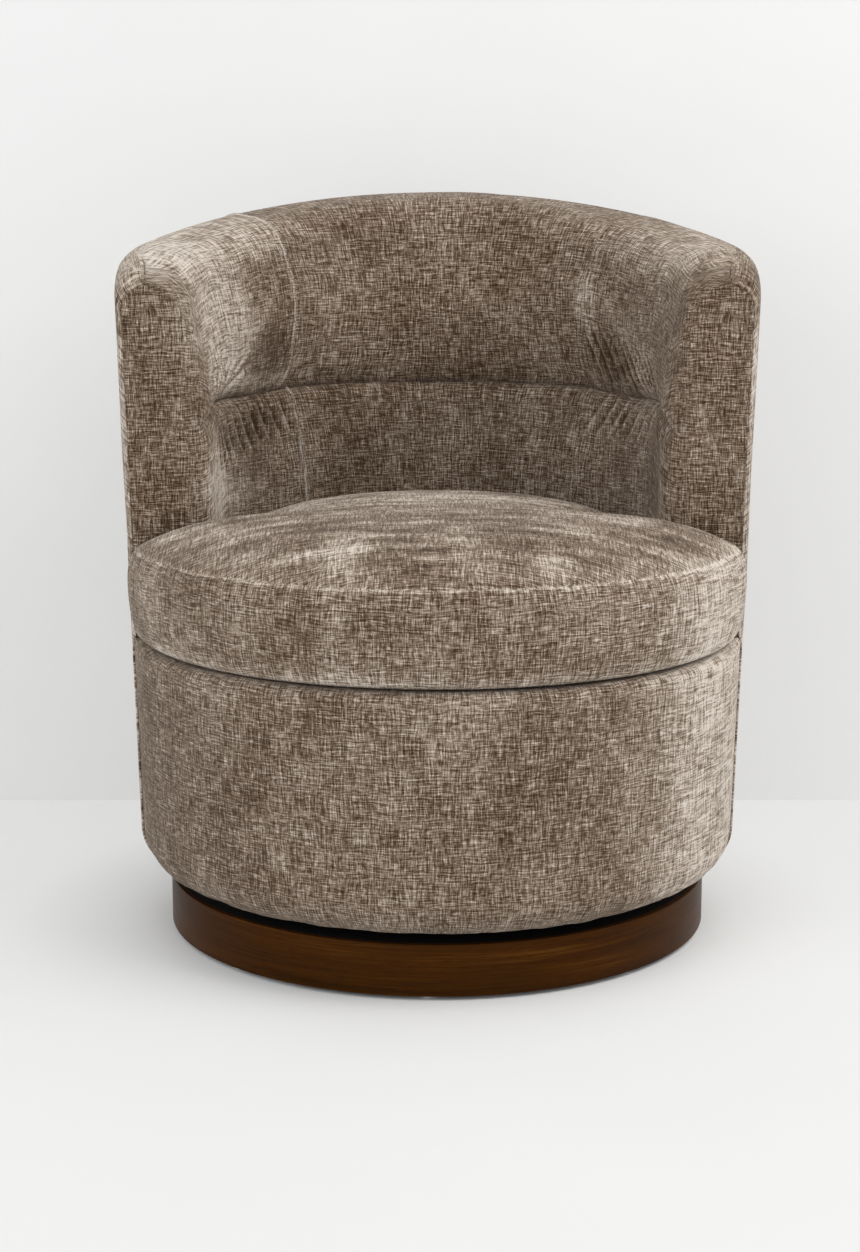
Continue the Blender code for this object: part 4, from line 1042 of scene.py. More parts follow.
# Strength of the painted highlight and painted shade on the two flanks of a fold.
FOLD_LIGHT_AND_SHADE = 0.27
CORNER_LENGTH = INNER_CORNER * math.pi / 2
FACE_FOOT = 0.316
FACE_FOOT_FROM = 0.4
FACE_SHARES = (*[i / 16 for i in range(1, 16)], 0.965, 0.982, 1.0)
FACE_WIDTH = 0.068
FACE_SWELL = 0.0030
FACE_SWELL_TOP = 0.72
FACE_CREASE = 0.0018
FACE_CREASE_LEVEL = 0.556
FACE_CREASE_WIDTH = 0.006
FOLD_BUNDLES = {
    1: [
        ((0.236, 0.664, 0.226, 0.590), (0.096, 0.628, 0.062, 0.572), 10, 0.0030, 0.0034),
        ((0.215, 0.572, 0.240, 0.535), (0.095, 0.566, 0.130, 0.520), 7, 0.0018, 0.0034),
        ((0.070, 0.552, 0.042, 0.515), (0.062, 0.556, 0.030, 0.540), 3, 0.0020, 0.0036),
    ],
    -1: [
        ((0.250, 0.573, 0.256, 0.540), (0.090, 0.560, 0.126, 0.496), 9, 0.0030, 0.0036),
        ((0.083, 0.560, 0.112, 0.488), (0.076, 0.556, 0.096, 0.486), 2, 0.0050, 0.0046),
        ((0.060, 0.550, 0.072, 0.480), (0.044, 0.546, 0.046, 0.490), 3, 0.0024, 0.0040),
        ((0.090, 0.580, 0.128, 0.632), (0.050, 0.578, 0.064, 0.640), 4, 0.0030, 0.0040),
        ((0.110, 0.584, 0.190, 0.622), (0.100, 0.582, 0.160, 0.628), 3, 0.0024, 0.0036),
    ],
}
# Patches of brushed pile and painted light and shade on each arm, lighter and darker.
ARM_PATCHES = {
    -1: [
        (0.36, (0.085, 0.665), (0.13, 0.11)), (-0.14, (0.205, 0.625), (0.055, 0.045)),
        (0.26, (0.19, 0.593), (0.09, 0.014)), (0.50, (0.062, 0.490), (0.072, 0.072)),
        (0.32, (0.14, 0.760), (0.15, 0.050)), (0.34, (0.015, 0.742), (0.070, 0.036)),
        (-0.14, (0.17, 0.545), (0.09, 0.040)), (0.14, (0.13, 0.470), (0.07, 0.022)),
    ],
    1: [
        (0.22, (0.11, 0.748), (0.15, 0.055)), (0.22, (0.222, 0.685), (0.022, 0.045)),
        (-0.16, (0.20, 0.615), (0.045, 0.035)), (0.14, (0.11, 0.605), (0.055, 0.045)),
        (-0.12, (0.06, 0.500), (0.07, 0.080)),
    ],
}
FACE_FROM = 0.004


def spread_folds(bundles):
    """The folds of some bundles, each as (along, height, along, height, rise, half-width)."""
    folds = []
    for first, last, count, tall, wide in bundles:
        for i in range(count):
            share = i / (count - 1)
            ends = [a + share * (b - a) for a, b in zip(first, last)]
            sway = noise.noise(Vector((i * 1.7, count, tall * 900)))
            ends[0] += 0.004 * sway
            ends[3] += 0.010 * sway
            folds.append((*ends, tall * (0.8 + 0.6 * sway), wide))
    return folds


FOLDS = {side: spread_folds(bundles) for side, bundles in FOLD_BUNDLES.items()}


def fold_marks(folds, along, height):
    """How far the folds lift the cloth at a point, and the painted light and shade on them.

    Each fold is a round ridge with a valley on each side. One flank gets a painted
    highlight and the other painted shade.
    """
    rise = 0.0
    pile_and_light = 0.0
    for a0, z0, a1, z1, tall, wide in folds:
        if abs(height - (z0 + z1) / 2) > abs(z1 - z0) / 2 + 3 * wide:
            continue
        da = a1 - a0
        dz = z1 - z0
        share = ((along - a0) * da + (height - z0) * dz) / (da * da + dz * dz)
        held = min(max(share, 0.0), 1.0)
        off = math.hypot(along - a0 - held * da, height - z0 - held * dz) / wide
        if off < 3:
            ends = math.sin(math.pi * min(max(share, 0.04), 0.96)) ** 0.6
            rise += tall * ends * math.exp(-off * off) * (1 - 0.55 * off * off)
            signed = off if (along - a0) * dz - (height - z0) * da > 0 else -off
            # A painted highlight on one flank and painted shade on the other.
            light = math.exp(-2 * (signed - 0.5) ** 2) - math.exp(-2 * (signed + 0.7) ** 2)
            pile_and_light += FOLD_LIGHT_AND_SHADE * ends * light
    return rise, pile_and_light


def arm_pile_and_light(side, along, height, place):
    """Clouds, upright streaks on the wall and not on the face, patches of brushed pile and painted
    light, and painted shade on the face.
    """
    pile_and_light = 0.05 * noise.noise(place * 9 + Vector((5, 0, 0)))
    if along > 0:
        pile_and_light += 0.08 * noise.noise(Vector((along * 60, height * 14, 3.0 + side)))
    pile_and_light = patched(pile_and_light, ARM_PATCHES[side], along, height)
    # Painted shade on the flat face.
    if along < FACE_FROM:
        pile_and_light -= 0.04
    return pile_and_light


# %% [markdown]
# A column on the wall is placed by its angle. One in the corner is also drawn in
# towards the arm's middle. The face is ruled: each row runs straight from the
# corner's last column to a line along the outside's seam.


# %% Arm columns
def arm_point(side, radius, height, way_back):
    """The place at this radius and height, this far back from the arm's face."""
    return around(radius, side * front_turn(radius, way_back), height)


FACE_INNER = arm_point(1, INNER_RADIUS + INNER_CORNER, 0.0, 0.0).x


def face_outline(top, rows):
    """The face's outer edge beside the outside panel, one point for each of the rows."""
    outer = []
    for _, height, _, _ in rows:
        level = min(height, top)
        below = top - level
        reach = outer_radius(level) - OUTER_CORNER
        if below < ARM_RIM_ROUND:
            reach -= ARM_RIM_ROUND - math.sqrt(ARM_RIM_ROUND**2 - (ARM_RIM_ROUND - below) ** 2)
        outer.append((reach, level))
    return outer


def corner_radius(height):
    """The inner front corner is crisp at the top of the arm, and softer below."""
    return INNER_CORNER + (TOP_CORNER - INNER_CORNER) * smooth_share(height, 0.600, 0.670)


def rim_under(side, share, back):
    """The rim's height and way back from the face, as the outside panel has them there.

    The column lies this share of the way from the seam to a line this far back.
    """
    way_back = 0.0
    top = ARM_TOP
    for _ in range(6):
        radius = TUB_RADIUS - rim_round(way_back)
        start = seam_turn(side, top)
        turn = start + share * (front_turn(radius, back) - start)
        way_back = max(OUTSIDE_REACH * (1 - turn / front_turn(radius)), 0.0)
        top = top_level(front_turn(TUB_RADIUS, way_back), way_back)
    return top, way_back


def arm_rows(side, rim, behind, angle):
    """One column: behind is how far it lies back from the corner, and angle its way round it.

    Each row is (radius, height, way up the cloth, way back from the face).
    """
    top, top_back = rim
    low_back = behind + INNER_CORNER * (1 - math.sin(angle))
    turn = front_turn(INNER_RADIUS, low_back)
    depth = 1.1 * tuck_depth(turn) * smooth_share(low_back, -0.006, 0.026)
    lean = ARM_LEAN * (1 - smooth_share(low_back, 0.0, ARM_LEAN_REACH))
    belly = smooth_share(low_back, 0.0, 0.10)
    points = inside_points(top, tuck_level(side, turn), depth, belly, lean, rim_round(top_back))
    start = points[0][0]
    rows = []
    for radius, height, way in points:
        corner = corner_radius(height)
        weight = min(max((start - radius) / (start - INNER_RADIUS), 0.0), 1.0)
        inset = weight * corner * (1 - math.cos(angle))
        rows.append((radius + inset, height, way, behind + corner * (1 - math.sin(angle))))
    return rows


def arm_wall(side, length):
    """The columns from the slanting seam to the start of the front corner."""
    marks = (0.0, *END_MARKS, *[length * i / ARM_STEPS for i in range(1, ARM_STEPS + 1)])
    grid = []
    for mark in marks:
        rim = rim_under(side, mark / length, TOP_CORNER)
        points = arm_rows(side, rim, length - mark, 0.0)
        rows = []
        for radius, height, way, back in points:
            start = seam_turn(side, height)
            turn = start + mark / length * (front_turn(radius, corner_radius(height)) - start)
            seam = nearest_seam((mark, BACK_SEAM[side]), (points[0][2] - way, RIM_SEAM))
            place = around(radius, side * turn, height)
            rows.append((place, (mark, way), *seam, back, height))
        grid.append(rows)
    return grid


def arm_corner(side, length):
    """The columns round the front corner, where the map turns from wall to face."""
    grid = []
    for i in range(1, CORNER_COLUMNS + 1):
        share = i / CORNER_COLUMNS
        angle = math.pi / 2 * share
        rim = rim_under(side, 1.0, TOP_CORNER * (1 - math.sin(angle)))
        points = arm_rows(side, rim, 0.0, angle)
        rows = []
        for radius, height, way, back in points:
            place = arm_point(side, radius, height, back)
            across = length + (CORNER_LENGTH + abs(place.x) - FACE_INNER) * share
            flat = (1 - share) * way + share * (height - ARM_TUCK_LEVEL[side])
            rows.append((place, (across, flat), points[0][2] - way, RIM_SEAM, back, height))
        grid.append(rows)
    return grid


def arm_face(side, length):
    """The flat face: each row runs straight out to the seam beside the outside panel."""
    edge_rows = arm_rows(side, rim_under(side, 1.0, 0.0), 0.0, math.pi / 2)
    outline = face_outline(top_level(front_turn(TUB_RADIUS), 0.0), edge_rows)
    grid = []
    for share in FACE_SHARES:
        rows = []
        for (radius, height, _, _), (outer, level) in zip(edge_rows, outline):
            inner_place = arm_point(side, radius, height, 0.0)
            outer_place = arm_point(side, outer, level, 0.0)
            place = inner_place.lerp(outer_place, share)
            run = (outer_place - inner_place).length * (1 - share)
            beyond = abs(place.x) - FACE_INNER
            flat = (length + CORNER_LENGTH + beyond, place.z - ARM_TUCK_LEVEL[side])
            rows.append((place, flat, max(run, 0.0), FACE_SEAM, -beyond, place.z))
        if share > FACE_FOOT_FROM:
            place, *others, _ = rows[-1]
            rows[-1] = (Vector((place.x, place.y, FACE_FOOT)), *others, FACE_FOOT)
        grid.append(rows)
    return grid


def make_arm(side):
    name = "left" if side < 0 else "right"
    start = seam_turn(side, ARM_TUCK_LEVEL[side])
    length = (front_turn(INNER_RADIUS, INNER_CORNER) - start) * INNER_RADIUS
    grid = arm_wall(side, length) + arm_corner(side, length) + arm_face(side, length)

    def relief(along, height, place):
        rise, pile_and_light = fold_marks(FOLDS[side], along, height)
        rise += uneven(place, *ARM_UNEVEN)
        if along < 0:
            across = min(-along / FACE_WIDTH, 1.0)
            below = smooth_share(FACE_SWELL_TOP - height, 0.0, 0.05)
            rise += FACE_SWELL * math.sin(math.pi * across) * below
            off = (height - FACE_CREASE_LEVEL) / FACE_CREASE_WIDTH
            rise += FACE_CREASE * math.exp(-(off**2)) * (1 - across)
        return rise, pile_and_light + arm_pile_and_light(side, along, height, place)

    panel = woven_panel(f"arm_panel_{name}", grid, side < 0, relief)
    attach(panel, "seat")
    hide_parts(f"arm_cover_{name}", f"arm_front_pad_{name}")
    return panel


for side in (-1, 1):
    arm = make_arm(side)
    print(arm.name, len(arm.data.polygons), "faces")

# %% [markdown]
# ## The drum's front
# From arm to arm the drum has its own length of cloth. It starts on the flat edge
# under the cushion, turns over a small round, runs down the drum and is pulled under
# the soft lower edge, where it gathers a little.

# %% Drum front panel
SHELF_INNER = 0.287
SHELF_TOP = 0.3283
FRONT_STEPS = 170
FRONT_ROWS = 74
DRUM_OVERLAP = 0.0008
SLANT_TURN = -57
SLANT_RUN = 7
SLANT_LENGTH = 0.062
SLANT_FOOT = 0.238
SLANT_DIP = 0.0012
SLANT_WIDTH = 0.0022


def drum_line(edge_round):
    """The cut of the drum's front, from the shelf under the cushion to the hem."""
    outer = outer_radius(SHELF_TOP - edge_round)
    line = [Vector((SHELF_INNER, SHELF_TOP))]
    line += arc_points(outer - edge_round, SHELF_TOP - edge_round, edge_round, 90, 0, 8)
    line += reversed(underside_arc())
    return line


def slant_seam(turn, height):
    """How near a point of the drum lies to the short slanting seam beside the left arm."""
    if height < SLANT_FOOT:
        return 1.0
    down = smooth_share(DRUM_TOP_LEVEL - height, 0.0, SLANT_LENGTH)
    middle = math.radians(SLANT_TURN - SLANT_RUN * down)
    return abs(turn - middle) * DRUM_TOP_RADIUS


def drum_relief(along, height, place):
    """Uneven padding, the slanting seam with a painted highlight beside it, a painted highlight
    along the top round, and painted light towards the right and shade towards the left.
    """
    rise = uneven(place, *OUTSIDE_UNEVEN) + ripple(place)
    edge = slant_seam(math.atan2(place.x, -place.y), height)
    fade = smooth_share(height, 0.240, 0.262)
    rise -= SLANT_DIP * fade * math.exp(-((edge / SLANT_WIDTH) ** 2))
    pile_and_light = 0.05 * noise.noise(place * 8 + Vector((0, 9, 0)))
    # A painted highlight along the top round.
    pile_and_light += 0.05 * smooth_share(height, 0.295, 0.318)
    # Painted shade towards the left, and painted light towards the right.
    left = 0.06 * smooth_share(-place.x, 0.16, 0.28)
    pile_and_light += 0.40 * smooth_share(place.x, 0.16, 0.30) - left
    # A painted highlight beside the slanting seam.
    pile_and_light += 0.10 * fade * math.exp(-(((edge - 0.002) / 0.0012) ** 2))
    return rise, pile_and_light


def make_drum_front():
    line = drum_line(EDGE_ROUND)
    length = sum((b - a).length for a, b in zip(line, line[1:]))
    marks = [length * i / FRONT_ROWS for i in range(FRONT_ROWS + 1)]
    reach = (math.pi - front_turn(DRUM_TOP_RADIUS)) * DRUM_TOP_RADIUS
    grid = []
    for across in marks_along(2 * reach, FRONT_STEPS):
        share = across / reach - 1
        edge = min(across, 2 * reach - across)
        edge_round = EDGE_ROUND * (0.15 + 0.85 * smooth_share(edge, 0.0, 0.035))
        rows = []
        for point, mark in zip(sampled(drum_line(edge_round), marks), marks):
            turn = share * (math.pi - front_turn(point.x) + DRUM_OVERLAP / point.x)
            place = Vector((point.x * math.sin(turn), -point.x * math.cos(turn), point.y))
            rows.append((place, (across, -mark), edge, DRUM_SEAM, across, point.y))
        grid.append(rows)
    panel = woven_panel("drum_front_panel", grid, True, drum_relief)
    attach(panel, "seat")
    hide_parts("drum_front_cover", "front_edge_pad")
    return panel


drum_front = make_drum_front()
print("drum front", len(drum_front.data.polygons), "faces")

# %% [markdown]
# ## The seat platform
# Under the loose cushion lies a thin padded platform of plain cloth, with a line of
# stitches near its edge.


# %% Seat platform
PLATFORM_EDGE = (
    (0.026, 0), (0.022, 0.0006), (0.020, 0.0016), (0.018, 0.0006),
    (0.014, 0), (0.003, 0.0004), (0.0008, 0.002), (0, 0.005),
)


def make_platform():
    edge = deck_high.x
    foot = deck_low.z
    profile = [(0.0, DECK), (0.08, DECK), (0.16, DECK)]
    profile += [(edge - inset, DECK - drop) for inset, drop in PLATFORM_EDGE]
    profile += [(edge, foot + 0.002), (edge - 0.002, foot), (0.0, foot)]
    bm = spun(profile, 128, closed=False)
    made = add_piece("seat_platform", bm, platform, 60)
    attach(made, "seat")
    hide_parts("deck_pad")
    return made


seat_platform = make_platform()
print("platform", [round(x, 3) for x in seat_platform.dimensions])

# %% [markdown]
# ## The loose cushion
# Seen from above, the cushion is a wide disc in front and a smaller one between the
# arms, joined by two ears that wrap the arms' faces. Its outline is drawn from three
# kinds of arc: the discs, the round ears and the hollow notches.

# %% The cushion's outline
CUSHION_BACK_REACH = CUSHION_BACK - 0.0015
CUSHION_EAR_LINE = -0.0545
EAR_ROUND = 0.022
NOTCH_ROUND = 0.012
CUSHION_MIDDLE = Vector((0, -0.11))
CUSHION_SEAM = 0.432
CUSHION_BULGE = 0.402
SEAM_DRAW = 0.0075
FOOT_DRAW = 0.011
FOOT_POWER = 2.4
CROWN_POWER = 4.2
CROWN_SHARES = (0.985, 0.965, 0.94, 0.91, 0.87, 0.82, 0.75, 0.66, 0.55, 0.42, 0.28, 0.14)
CROWN_SWELL = 0.002
FOOT_EDGE = 0.002
SIDE_STEPS = 12
CUSHION_SMALLER = 0.0005


def cushion_outline(count):
    """Evenly spaced points of the outline, clockwise from the back's middle."""
    ear_y = CUSHION_EAR_LINE - EAR_ROUND
    ear_x = math.sqrt((CUSHION_FRONT - EAR_ROUND) ** 2 - ear_y**2)
    notch_y = CUSHION_EAR_LINE + NOTCH_ROUND
    notch_x = math.sqrt((CUSHION_BACK_REACH + NOTCH_ROUND) ** 2 - notch_y**2)
    start = math.degrees(math.atan2(notch_y, notch_x))
    end = math.degrees(math.atan2(ear_y, ear_x))
    half = arc_points(0, 0, CUSHION_BACK_REACH, 90, start, 60)
    half += arc_points(notch_x, notch_y, NOTCH_ROUND, 180 + start, 270, 10)
    half += arc_points(ear_x, ear_y, EAR_ROUND, 90, end, 14)
    half += arc_points(0, 0, CUSHION_FRONT, end, -90, 90)
    left = [Vector((-p.x, p.y)) for p in reversed(half)]
    loop = half + left[1:]
    length = sum((b - a).length for a, b in zip(loop, loop[1:]))
    return sampled(loop, [length * i / count for i in range(count)] + [length])[:-1]


OUTLINE = cushion_outline(720)
OUTLINE_TREE = KDTree(len(OUTLINE))
for i, point in enumerate(OUTLINE):
    OUTLINE_TREE.insert((point.x, point.y, 0), i)
OUTLINE_TREE.balance()
OUTLINE_LENGTH = sum((a - b).length for a, b in zip(OUTLINE, OUTLINE[1:] + OUTLINE[:1]))
print("outline", round(OUTLINE_LENGTH, 3), "m round")

# %% [markdown]
# A rough closed form comes first: rings of the outline, drawn in towards the middle
# on the crown and the base, and bulging a little halfway up the sides.


# %% The cushion's first form
def cushion_rings():
    """Rings as (share of the outline, draw towards the middle in metres, height)."""
    low = CUSHION_FOOT + FOOT_EDGE
    rings = [(1.0, FOOT_DRAW + 0.012, CUSHION_FOOT), (1.0, FOOT_DRAW + 0.003, low)]
    for i in range(1, SIDE_STEPS):
        height = low + (CUSHION_SEAM - CUSHION_FOOT - FOOT_EDGE) * i / SIDE_STEPS
        if height < CUSHION_BULGE:
            share = (CUSHION_BULGE - height) / (CUSHION_BULGE - CUSHION_FOOT)
            draw = FOOT_DRAW * share**FOOT_POWER
        else:
            share = (height - CUSHION_BULGE) / (CUSHION_SEAM - CUSHION_BULGE)
            draw = SEAM_DRAW * share**2
        rings.append((1.0, draw, height))
    rings.append((1.0, SEAM_DRAW, CUSHION_SEAM))
    for share in CROWN_SHARES:
        rise = (CROWN_TOP - CUSHION_SEAM - CROWN_SWELL) * (1 - share**CROWN_POWER)
        rings.append((share, SEAM_DRAW, CUSHION_SEAM + rise))
    return rings


def cushion_form():
    points = cushion_outline(240)
    bm = bmesh.new()
    loops = []
    for share, draw, height in cushion_rings():
        ring = []
        for point in points:
            out = point - CUSHION_MIDDLE
            reach = out.length - draw - CUSHION_SMALLER
            place = CUSHION_MIDDLE + out.normalized() * reach * share
            ring.append(bm.verts.new((place.x, place.y, height)))
        loops.append(ring)
    for low_ring, high_ring in zip(loops, loops[1:]):
        for k in range(len(points)):
            after = (k + 1) % len(points)
            bm.faces.new((low_ring[k], low_ring[after], high_ring[after], high_ring[k]))
    bm.faces.new(loops[0])
    bm.faces.new(loops[-1])
    bmesh.ops.recalc_face_normals(bm, faces=bm.faces)
    return add_piece("loose_cushion", bm, chenille, 180)


cushion = cushion_form()
print("first form", [round(x, 3) for x in cushion.dimensions])

# %% [markdown]
# ## The cushion swells
# The form is remeshed into even cells, and held along its seam and under its foot.
# Cloth with a little air pressure then fills it for twenty frames, which rounds the
# crown and puckers the sides. No point may move further than the cap, and none may
# leave the room that the tub gives the cushion.

# %% Cloth simulation
VOXEL = 0.006
FRAMES = 20
CAP = 0.008
HELD_FOOT = 0.004
HELD_SEAM = 0.0045
HELD_EDGE = 0.018
TUB_ROOM = CUSHION_BACK - 0.0010
EAR_ROOM = CUSHION_EAR_LINE + 0.0028
CROWN_ROOM = CROWN_TOP + 0.004
ZIP_ROOM = CUSHION_BACK - 0.0022
ZIP_CLEAR = 0.002
ZIP_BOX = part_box("cushion_zip")
CLOTH_SETTINGS = {
    "quality": 6, "mass": 0.3, "tension_stiffness": 12, "compression_stiffness": 6,
    "shear_stiffness": 4, "bending_stiffness": 0.4, "vertex_group_mass": "held",
    "use_pressure": True, "uniform_pressure_force": 4,
}


def baked(made):
    """Turns the piece's modifiers into its mesh."""
    graph = bpy.context.evaluated_depsgraph_get()
    mesh = bpy.data.meshes.new_from_object(made.evaluated_get(graph))
    made.modifiers.clear()
    made.data = mesh


def outline_way(x, y):
    """(distance, way round the outline) of a point seen from above."""
    place, k, distance = OUTLINE_TREE.find((x, y, 0))
    after = OUTLINE[(k + 1) % len(OUTLINE)]
    along = (after - OUTLINE[k]).normalized()
    step = OUTLINE_LENGTH / len(OUTLINE)
    return distance, k * step + along.dot(Vector((x - place.x, y - place.y)))


def swell(made):
    """Fills the piece with a little air for some frames, held at its foot and its seam."""
    group = made.vertex_groups.new(name="held")
    for vert in made.data.vertices:
        x, y, z = vert.co
        at_foot = z < CUSHION_FOOT + HELD_FOOT
        at_seam = abs(z - CUSHION_SEAM) < HELD_SEAM and outline_way(x, y)[0] < HELD_EDGE
        if at_foot or at_seam:
            group.add([vert.index], 1.0, "REPLACE")
    before = [vert.co.copy() for vert in made.data.vertices]
    cloth = made.modifiers.new("Cloth", "CLOTH")
    for key, value in CLOTH_SETTINGS.items():
        setattr(cloth.settings, key, value)
    cloth.settings.effector_weights.gravity = 0
    cloth.point_cache.frame_start = 1
    cloth.point_cache.frame_end = FRAMES
    for number in range(1, FRAMES + 1):
        bpy.context.scene.frame_set(number)
    baked(made)
    bpy.context.scene.frame_set(1)
    made.vertex_groups.clear()
    for vert, old in zip(made.data.vertices, before):
        move = vert.co - old
        if move.length > CAP:
            vert.co = old + move.normalized() * CAP


def keep_in_room(made):
    """Brings back every point that left the room between the arms, or passed its foot or top."""
    zip_low, zip_high = ZIP_BOX
    for vert in made.data.vertices:
        x, y, z = vert.co
        z = min(max(z, CUSHION_FOOT), CROWN_ROOM)
        reach = math.hypot(x, y)
        if y > CUSHION_EAR_LINE and reach > TUB_ROOM:
            if reach - TUB_ROOM < y - EAR_ROOM or y > -0.03:
                x *= TUB_ROOM / reach
                y *= TUB_ROOM / reach
            else:
                y = min(y, EAR_ROOM)
        off = abs(z - (zip_low.z + zip_high.z) / 2)
        by_zip = off < (zip_high.z - zip_low.z) / 2 + ZIP_CLEAR and y > zip_low.y - 0.01
        if by_zip and reach > ZIP_ROOM:
            share = ZIP_ROOM / math.hypot(x, y)
            x *= share
            y *= share
        vert.co = (x, y, z)


remesh = cushion.modifiers.new("Remesh", "REMESH")
remesh.mode = "VOXEL"
remesh.voxel_size = VOXEL
baked(cushion)
swell(cushion)
keep_in_room(cushion)
subdivision = cushion.modifiers.new("Subdivision", "SUBSURF")
subdivision.levels = 1
subdivision.render_levels = 1
baked(cushion)
print("cushion", len(cushion.data.polygons), "faces", [round(x, 3) for x in cushion.dimensions])

# %% [markdown]
# The seam comes after the swelling: every point near the seam's line is pulled in.
# The same pass writes the two attributes that the chenille reads, and lays the map:
# the crown and the base are flat cloth, and the side is a strip sewn round them.


# %% Seam, attributes and map of the cushion
CUSHION_PULLS = (
    (-1.30, 0.0011, 0.020), (-0.86, 0.0016, 0.017), (-0.40, 0.0009, 0.024),
    (0.12, 0.0012, 0.018), (0.46, 0.0008, 0.026), (0.88, 0.0015, 0.016), (1.22, 0.0010, 0.022),
)
PUCKER = 0.0007
CUSHION_SEAM_DIP = 0.0016
CUSHION_SEAM_REACH = 0.006
# The half-width of the painted highlight along the cushion's seam.
CUSHION_SEAM_HIGHLIGHT = 0.0030


def seam_line():
    """The seam's line round the cushion, to look up how far a point lies from it."""
    tree = KDTree(len(OUTLINE))
    for k, point in enumerate(OUTLINE):
        out = point - CUSHION_MIDDLE
        place = CUSHION_MIDDLE + out.normalized() * (out.length - SEAM_DRAW - CUSHION_SMALLER)
        tree.insert((place.x, place.y, CUSHION_SEAM), k)
    tree.balance()
    return tree


def pull_rise(place):
    """Slow upright drags in the side's cloth, and small puckers under the seam."""
    turn = math.atan2(place.x, -place.y)
    share = (place.z - CUSHION_FOOT) / (CUSHION_SEAM - CUSHION_FOOT)
    if not 0 < share < 1:
        return 0.0
    rise = 0.0
    for middle, tall, wide in CUSHION_PULLS:
        off = (turn - middle - 0.05 * share) * CUSHION_FRONT / wide
        rise += tall * math.exp(-off * off)
    pucker = noise.noise(Vector((turn * 26, 4.0, 1.0)))
    return rise * math.sin(math.pi * share) + PUCKER * pucker * share**3


def cushion_pile_and_light(place):
    """The crown's pile is brushed across in long marks, under painted light that is weaker towards
    the front; the foot is lighter, and the side's right end gets painted light.
    """
    on_top = smooth_share(place.z, CUSHION_SEAM, CUSHION_SEAM + 0.02)
    front = smooth_share(-place.y, -0.05, 0.25)
    clouds = noise.noise(Vector((place.x * 7 + 3.3, place.y * 15, 0)))
    marks = noise.noise(Vector((place.x * 18, place.y * 70, 5.0)))
    # Painted light on the crown, less towards the front, with clouds and long brushed marks in the
    # pile.
    pile_and_light = 0.03 + on_top * (0.30 * clouds + 0.36 * marks + 0.16 - 0.14 * front)
    pile_and_light += 0.08 * noise.noise(place * 17)
    turn = math.atan2(place.x, -place.y)
    foot = max(0.0, 1 - abs(place.z - CUSHION_FOOT - 0.006) / 0.014)
    pile_and_light += (0.20 + 0.16 * noise.noise(Vector((turn * 9, 1.0, 8.0)))) * foot
    # Painted light on the right end of the side.
    return pile_and_light + 0.34 * (1 - on_top) * smooth_share(place.x, 0.17, 0.31)


def map_cushion(bm):
    """Crown and base are mapped as seen from above, the side by its way round the outline."""
    layer = bm.loops.layers.uv["cloth"]
    for face in bm.faces:
        middle = face.calc_center_median()
        flat = middle.z > CUSHION_SEAM or face.normal.z < -0.8
        start = 0.0 if flat else outline_way(middle.x, middle.y)[1]
        for loop in face.loops:
            x, y, z = loop.vert.co
            if flat:
                loop[layer].uv = (x, y)
            else:
                way = outline_way(x, y)[1]
                loop[layer].uv = (start + math.remainder(way - start, OUTLINE_LENGTH), z)


def dress_cushion(made):
    tree = seam_line()
    bm = bmesh.new()
    bm.from_mesh(made.data)
    bm.normal_update()
    bm.loops.layers.uv.new("cloth")
    seam_highlight_layer = bm.verts.layers.float.new("seam")
    pile_and_light_layer = bm.verts.layers.float.new("pile_and_painted_light")
    moved = []
    for vert in bm.verts:
        _, _, edge = tree.find(vert.co)
        rise = uneven(vert.co, *CUSHION_UNEVEN) + pull_rise(vert.co)
        if vert.co.z < CUSHION_FOOT + 0.003:
            rise = 0.0
        if edge < CUSHION_SEAM_REACH:
            rise -= CUSHION_SEAM_DIP * (1 - edge / CUSHION_SEAM_REACH) ** 2
        # A painted highlight along the seam.
        vert[seam_highlight_layer] = 0.7 * max(0.0, 1 - edge / CUSHION_SEAM_HIGHLIGHT)
        vert[pile_and_light_layer] = cushion_pile_and_light(vert.co)
        moved.append(vert.co + vert.normal * rise)
    for vert, place in zip(bm.verts, moved):
        vert.co = place
    map_cushion(bm)
    bm.to_mesh(made.data)
    bm.free()
    made.data.shade_smooth()
    if not made.data.materials:
        made.data.materials.append(chenille)
    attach(made, "cushion")
    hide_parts("cushion_cover", "cushion_foam")


dress_cushion(cushion)
print("cushion dressed", [round(x, 3) for x in cushion.dimensions])

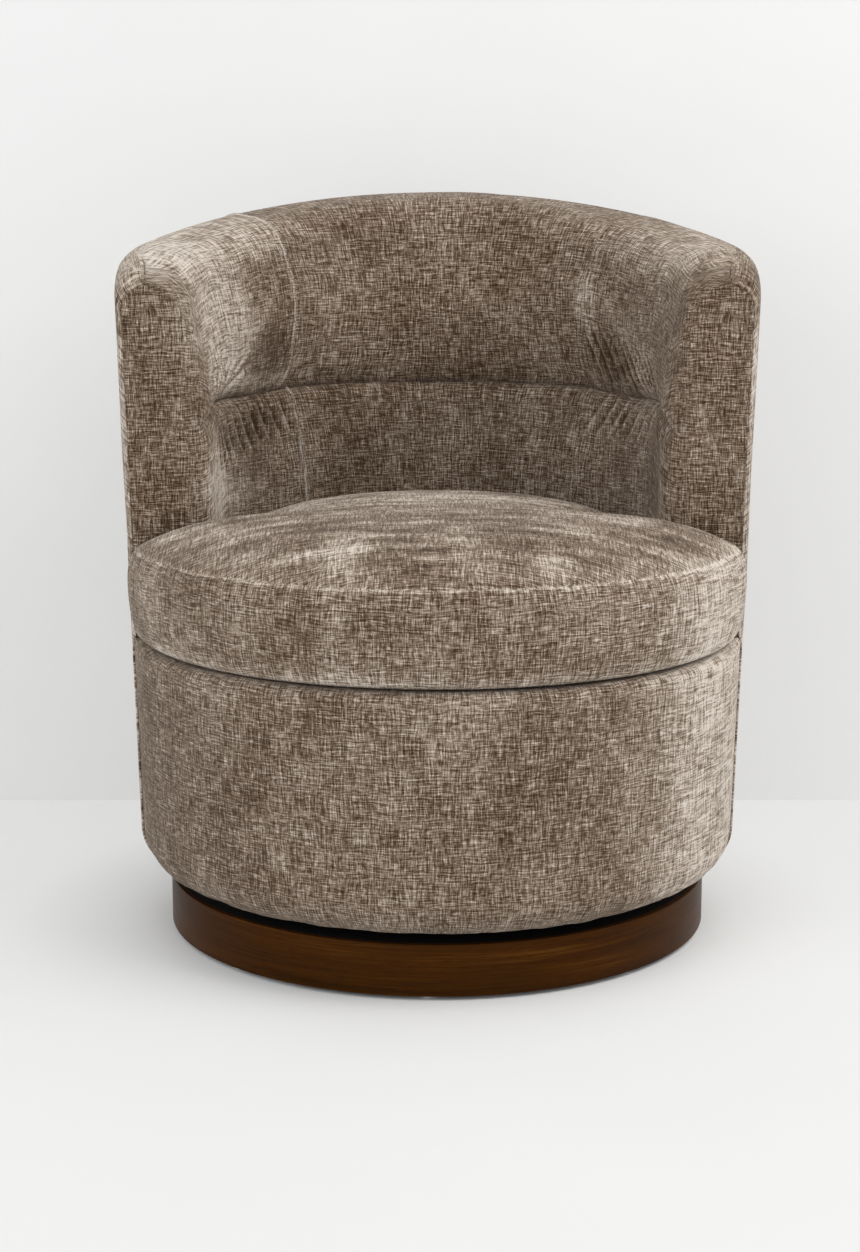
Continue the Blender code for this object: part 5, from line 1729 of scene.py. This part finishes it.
# %% [markdown]
# ## The backdrop
# A plain floor and wall, a big soft key light high on the right, a weak fill from
# the left, and a pale world. The wall stands just behind the chair, and a share of
# both is lifted to a plain pale colour away from the chair's foot.


# %% Floor, wall and lights
WALL_BACK = 0.481
WALL_LIFT = 0.4
FLOOR_LIFT = 0.6
LIFT_FADE = (0.28, 0.48)


def make_plain(name, color, corners, share):
    finish = Finish(name, 0.9, specular=0.1)
    grain = finish.noise(finish.place(), 3, 2)
    dark = tuple(value * 0.985 for value in color)
    finish.color(finish.ramp(grain, [(0.3, dark), (0.7, color)]))
    finish.lift(screen_color(237, 237, 236), share, LIFT_FADE)
    bm = bmesh.new()
    bm.faces.new([bm.verts.new(corner) for corner in corners])
    made = add_piece(name, bm, finish.material)


floor_corners = [(-4, -5, 0), (4, -5, 0), (4, 5, 0), (-4, 5, 0)]
make_plain("floor", (234, 234, 233), floor_corners, FLOOR_LIFT)
wall_corners = [(x, WALL_BACK, z) for x, z in ((-4, 0), (4, 0), (4, 4), (-4, 4))]
make_plain("wall", (238, 238, 237), wall_corners, WALL_LIFT)


def add_area(name, place, aim, size, power, color):
    data = bpy.data.lights.new(name, "AREA")
    data.shape = "RECTANGLE"
    data.size, data.size_y = size
    data.energy = power
    data.color = color
    lamp = bpy.data.objects.new(name, data)
    lamp.location = place
    lamp.rotation_euler = (Vector(aim) - Vector(place)).to_track_quat("-Z", "Y").to_euler()
    bpy.context.scene.collection.objects.link(lamp)


add_area("key", (1.9, -1.0, 2.5), (0, 0, 0.45), (1.9, 1.9), 42, (1.0, 0.99, 0.97))
add_area("fill", (-2.4, -2.0, 1.6), (0, 0, 0.4), (2.2, 1.6), 24, (0.98, 0.99, 1.0))
world = bpy.data.worlds.new("pale room")
world.use_nodes = True
sky = world.node_tree.nodes["Background"]
sky.inputs["Color"].default_value = (0.95, 0.96, 0.98, 1)
sky.inputs["Strength"].default_value = 0.82
bpy.context.scene.world = world
bpy.context.scene.view_settings.view_transform = "Standard"
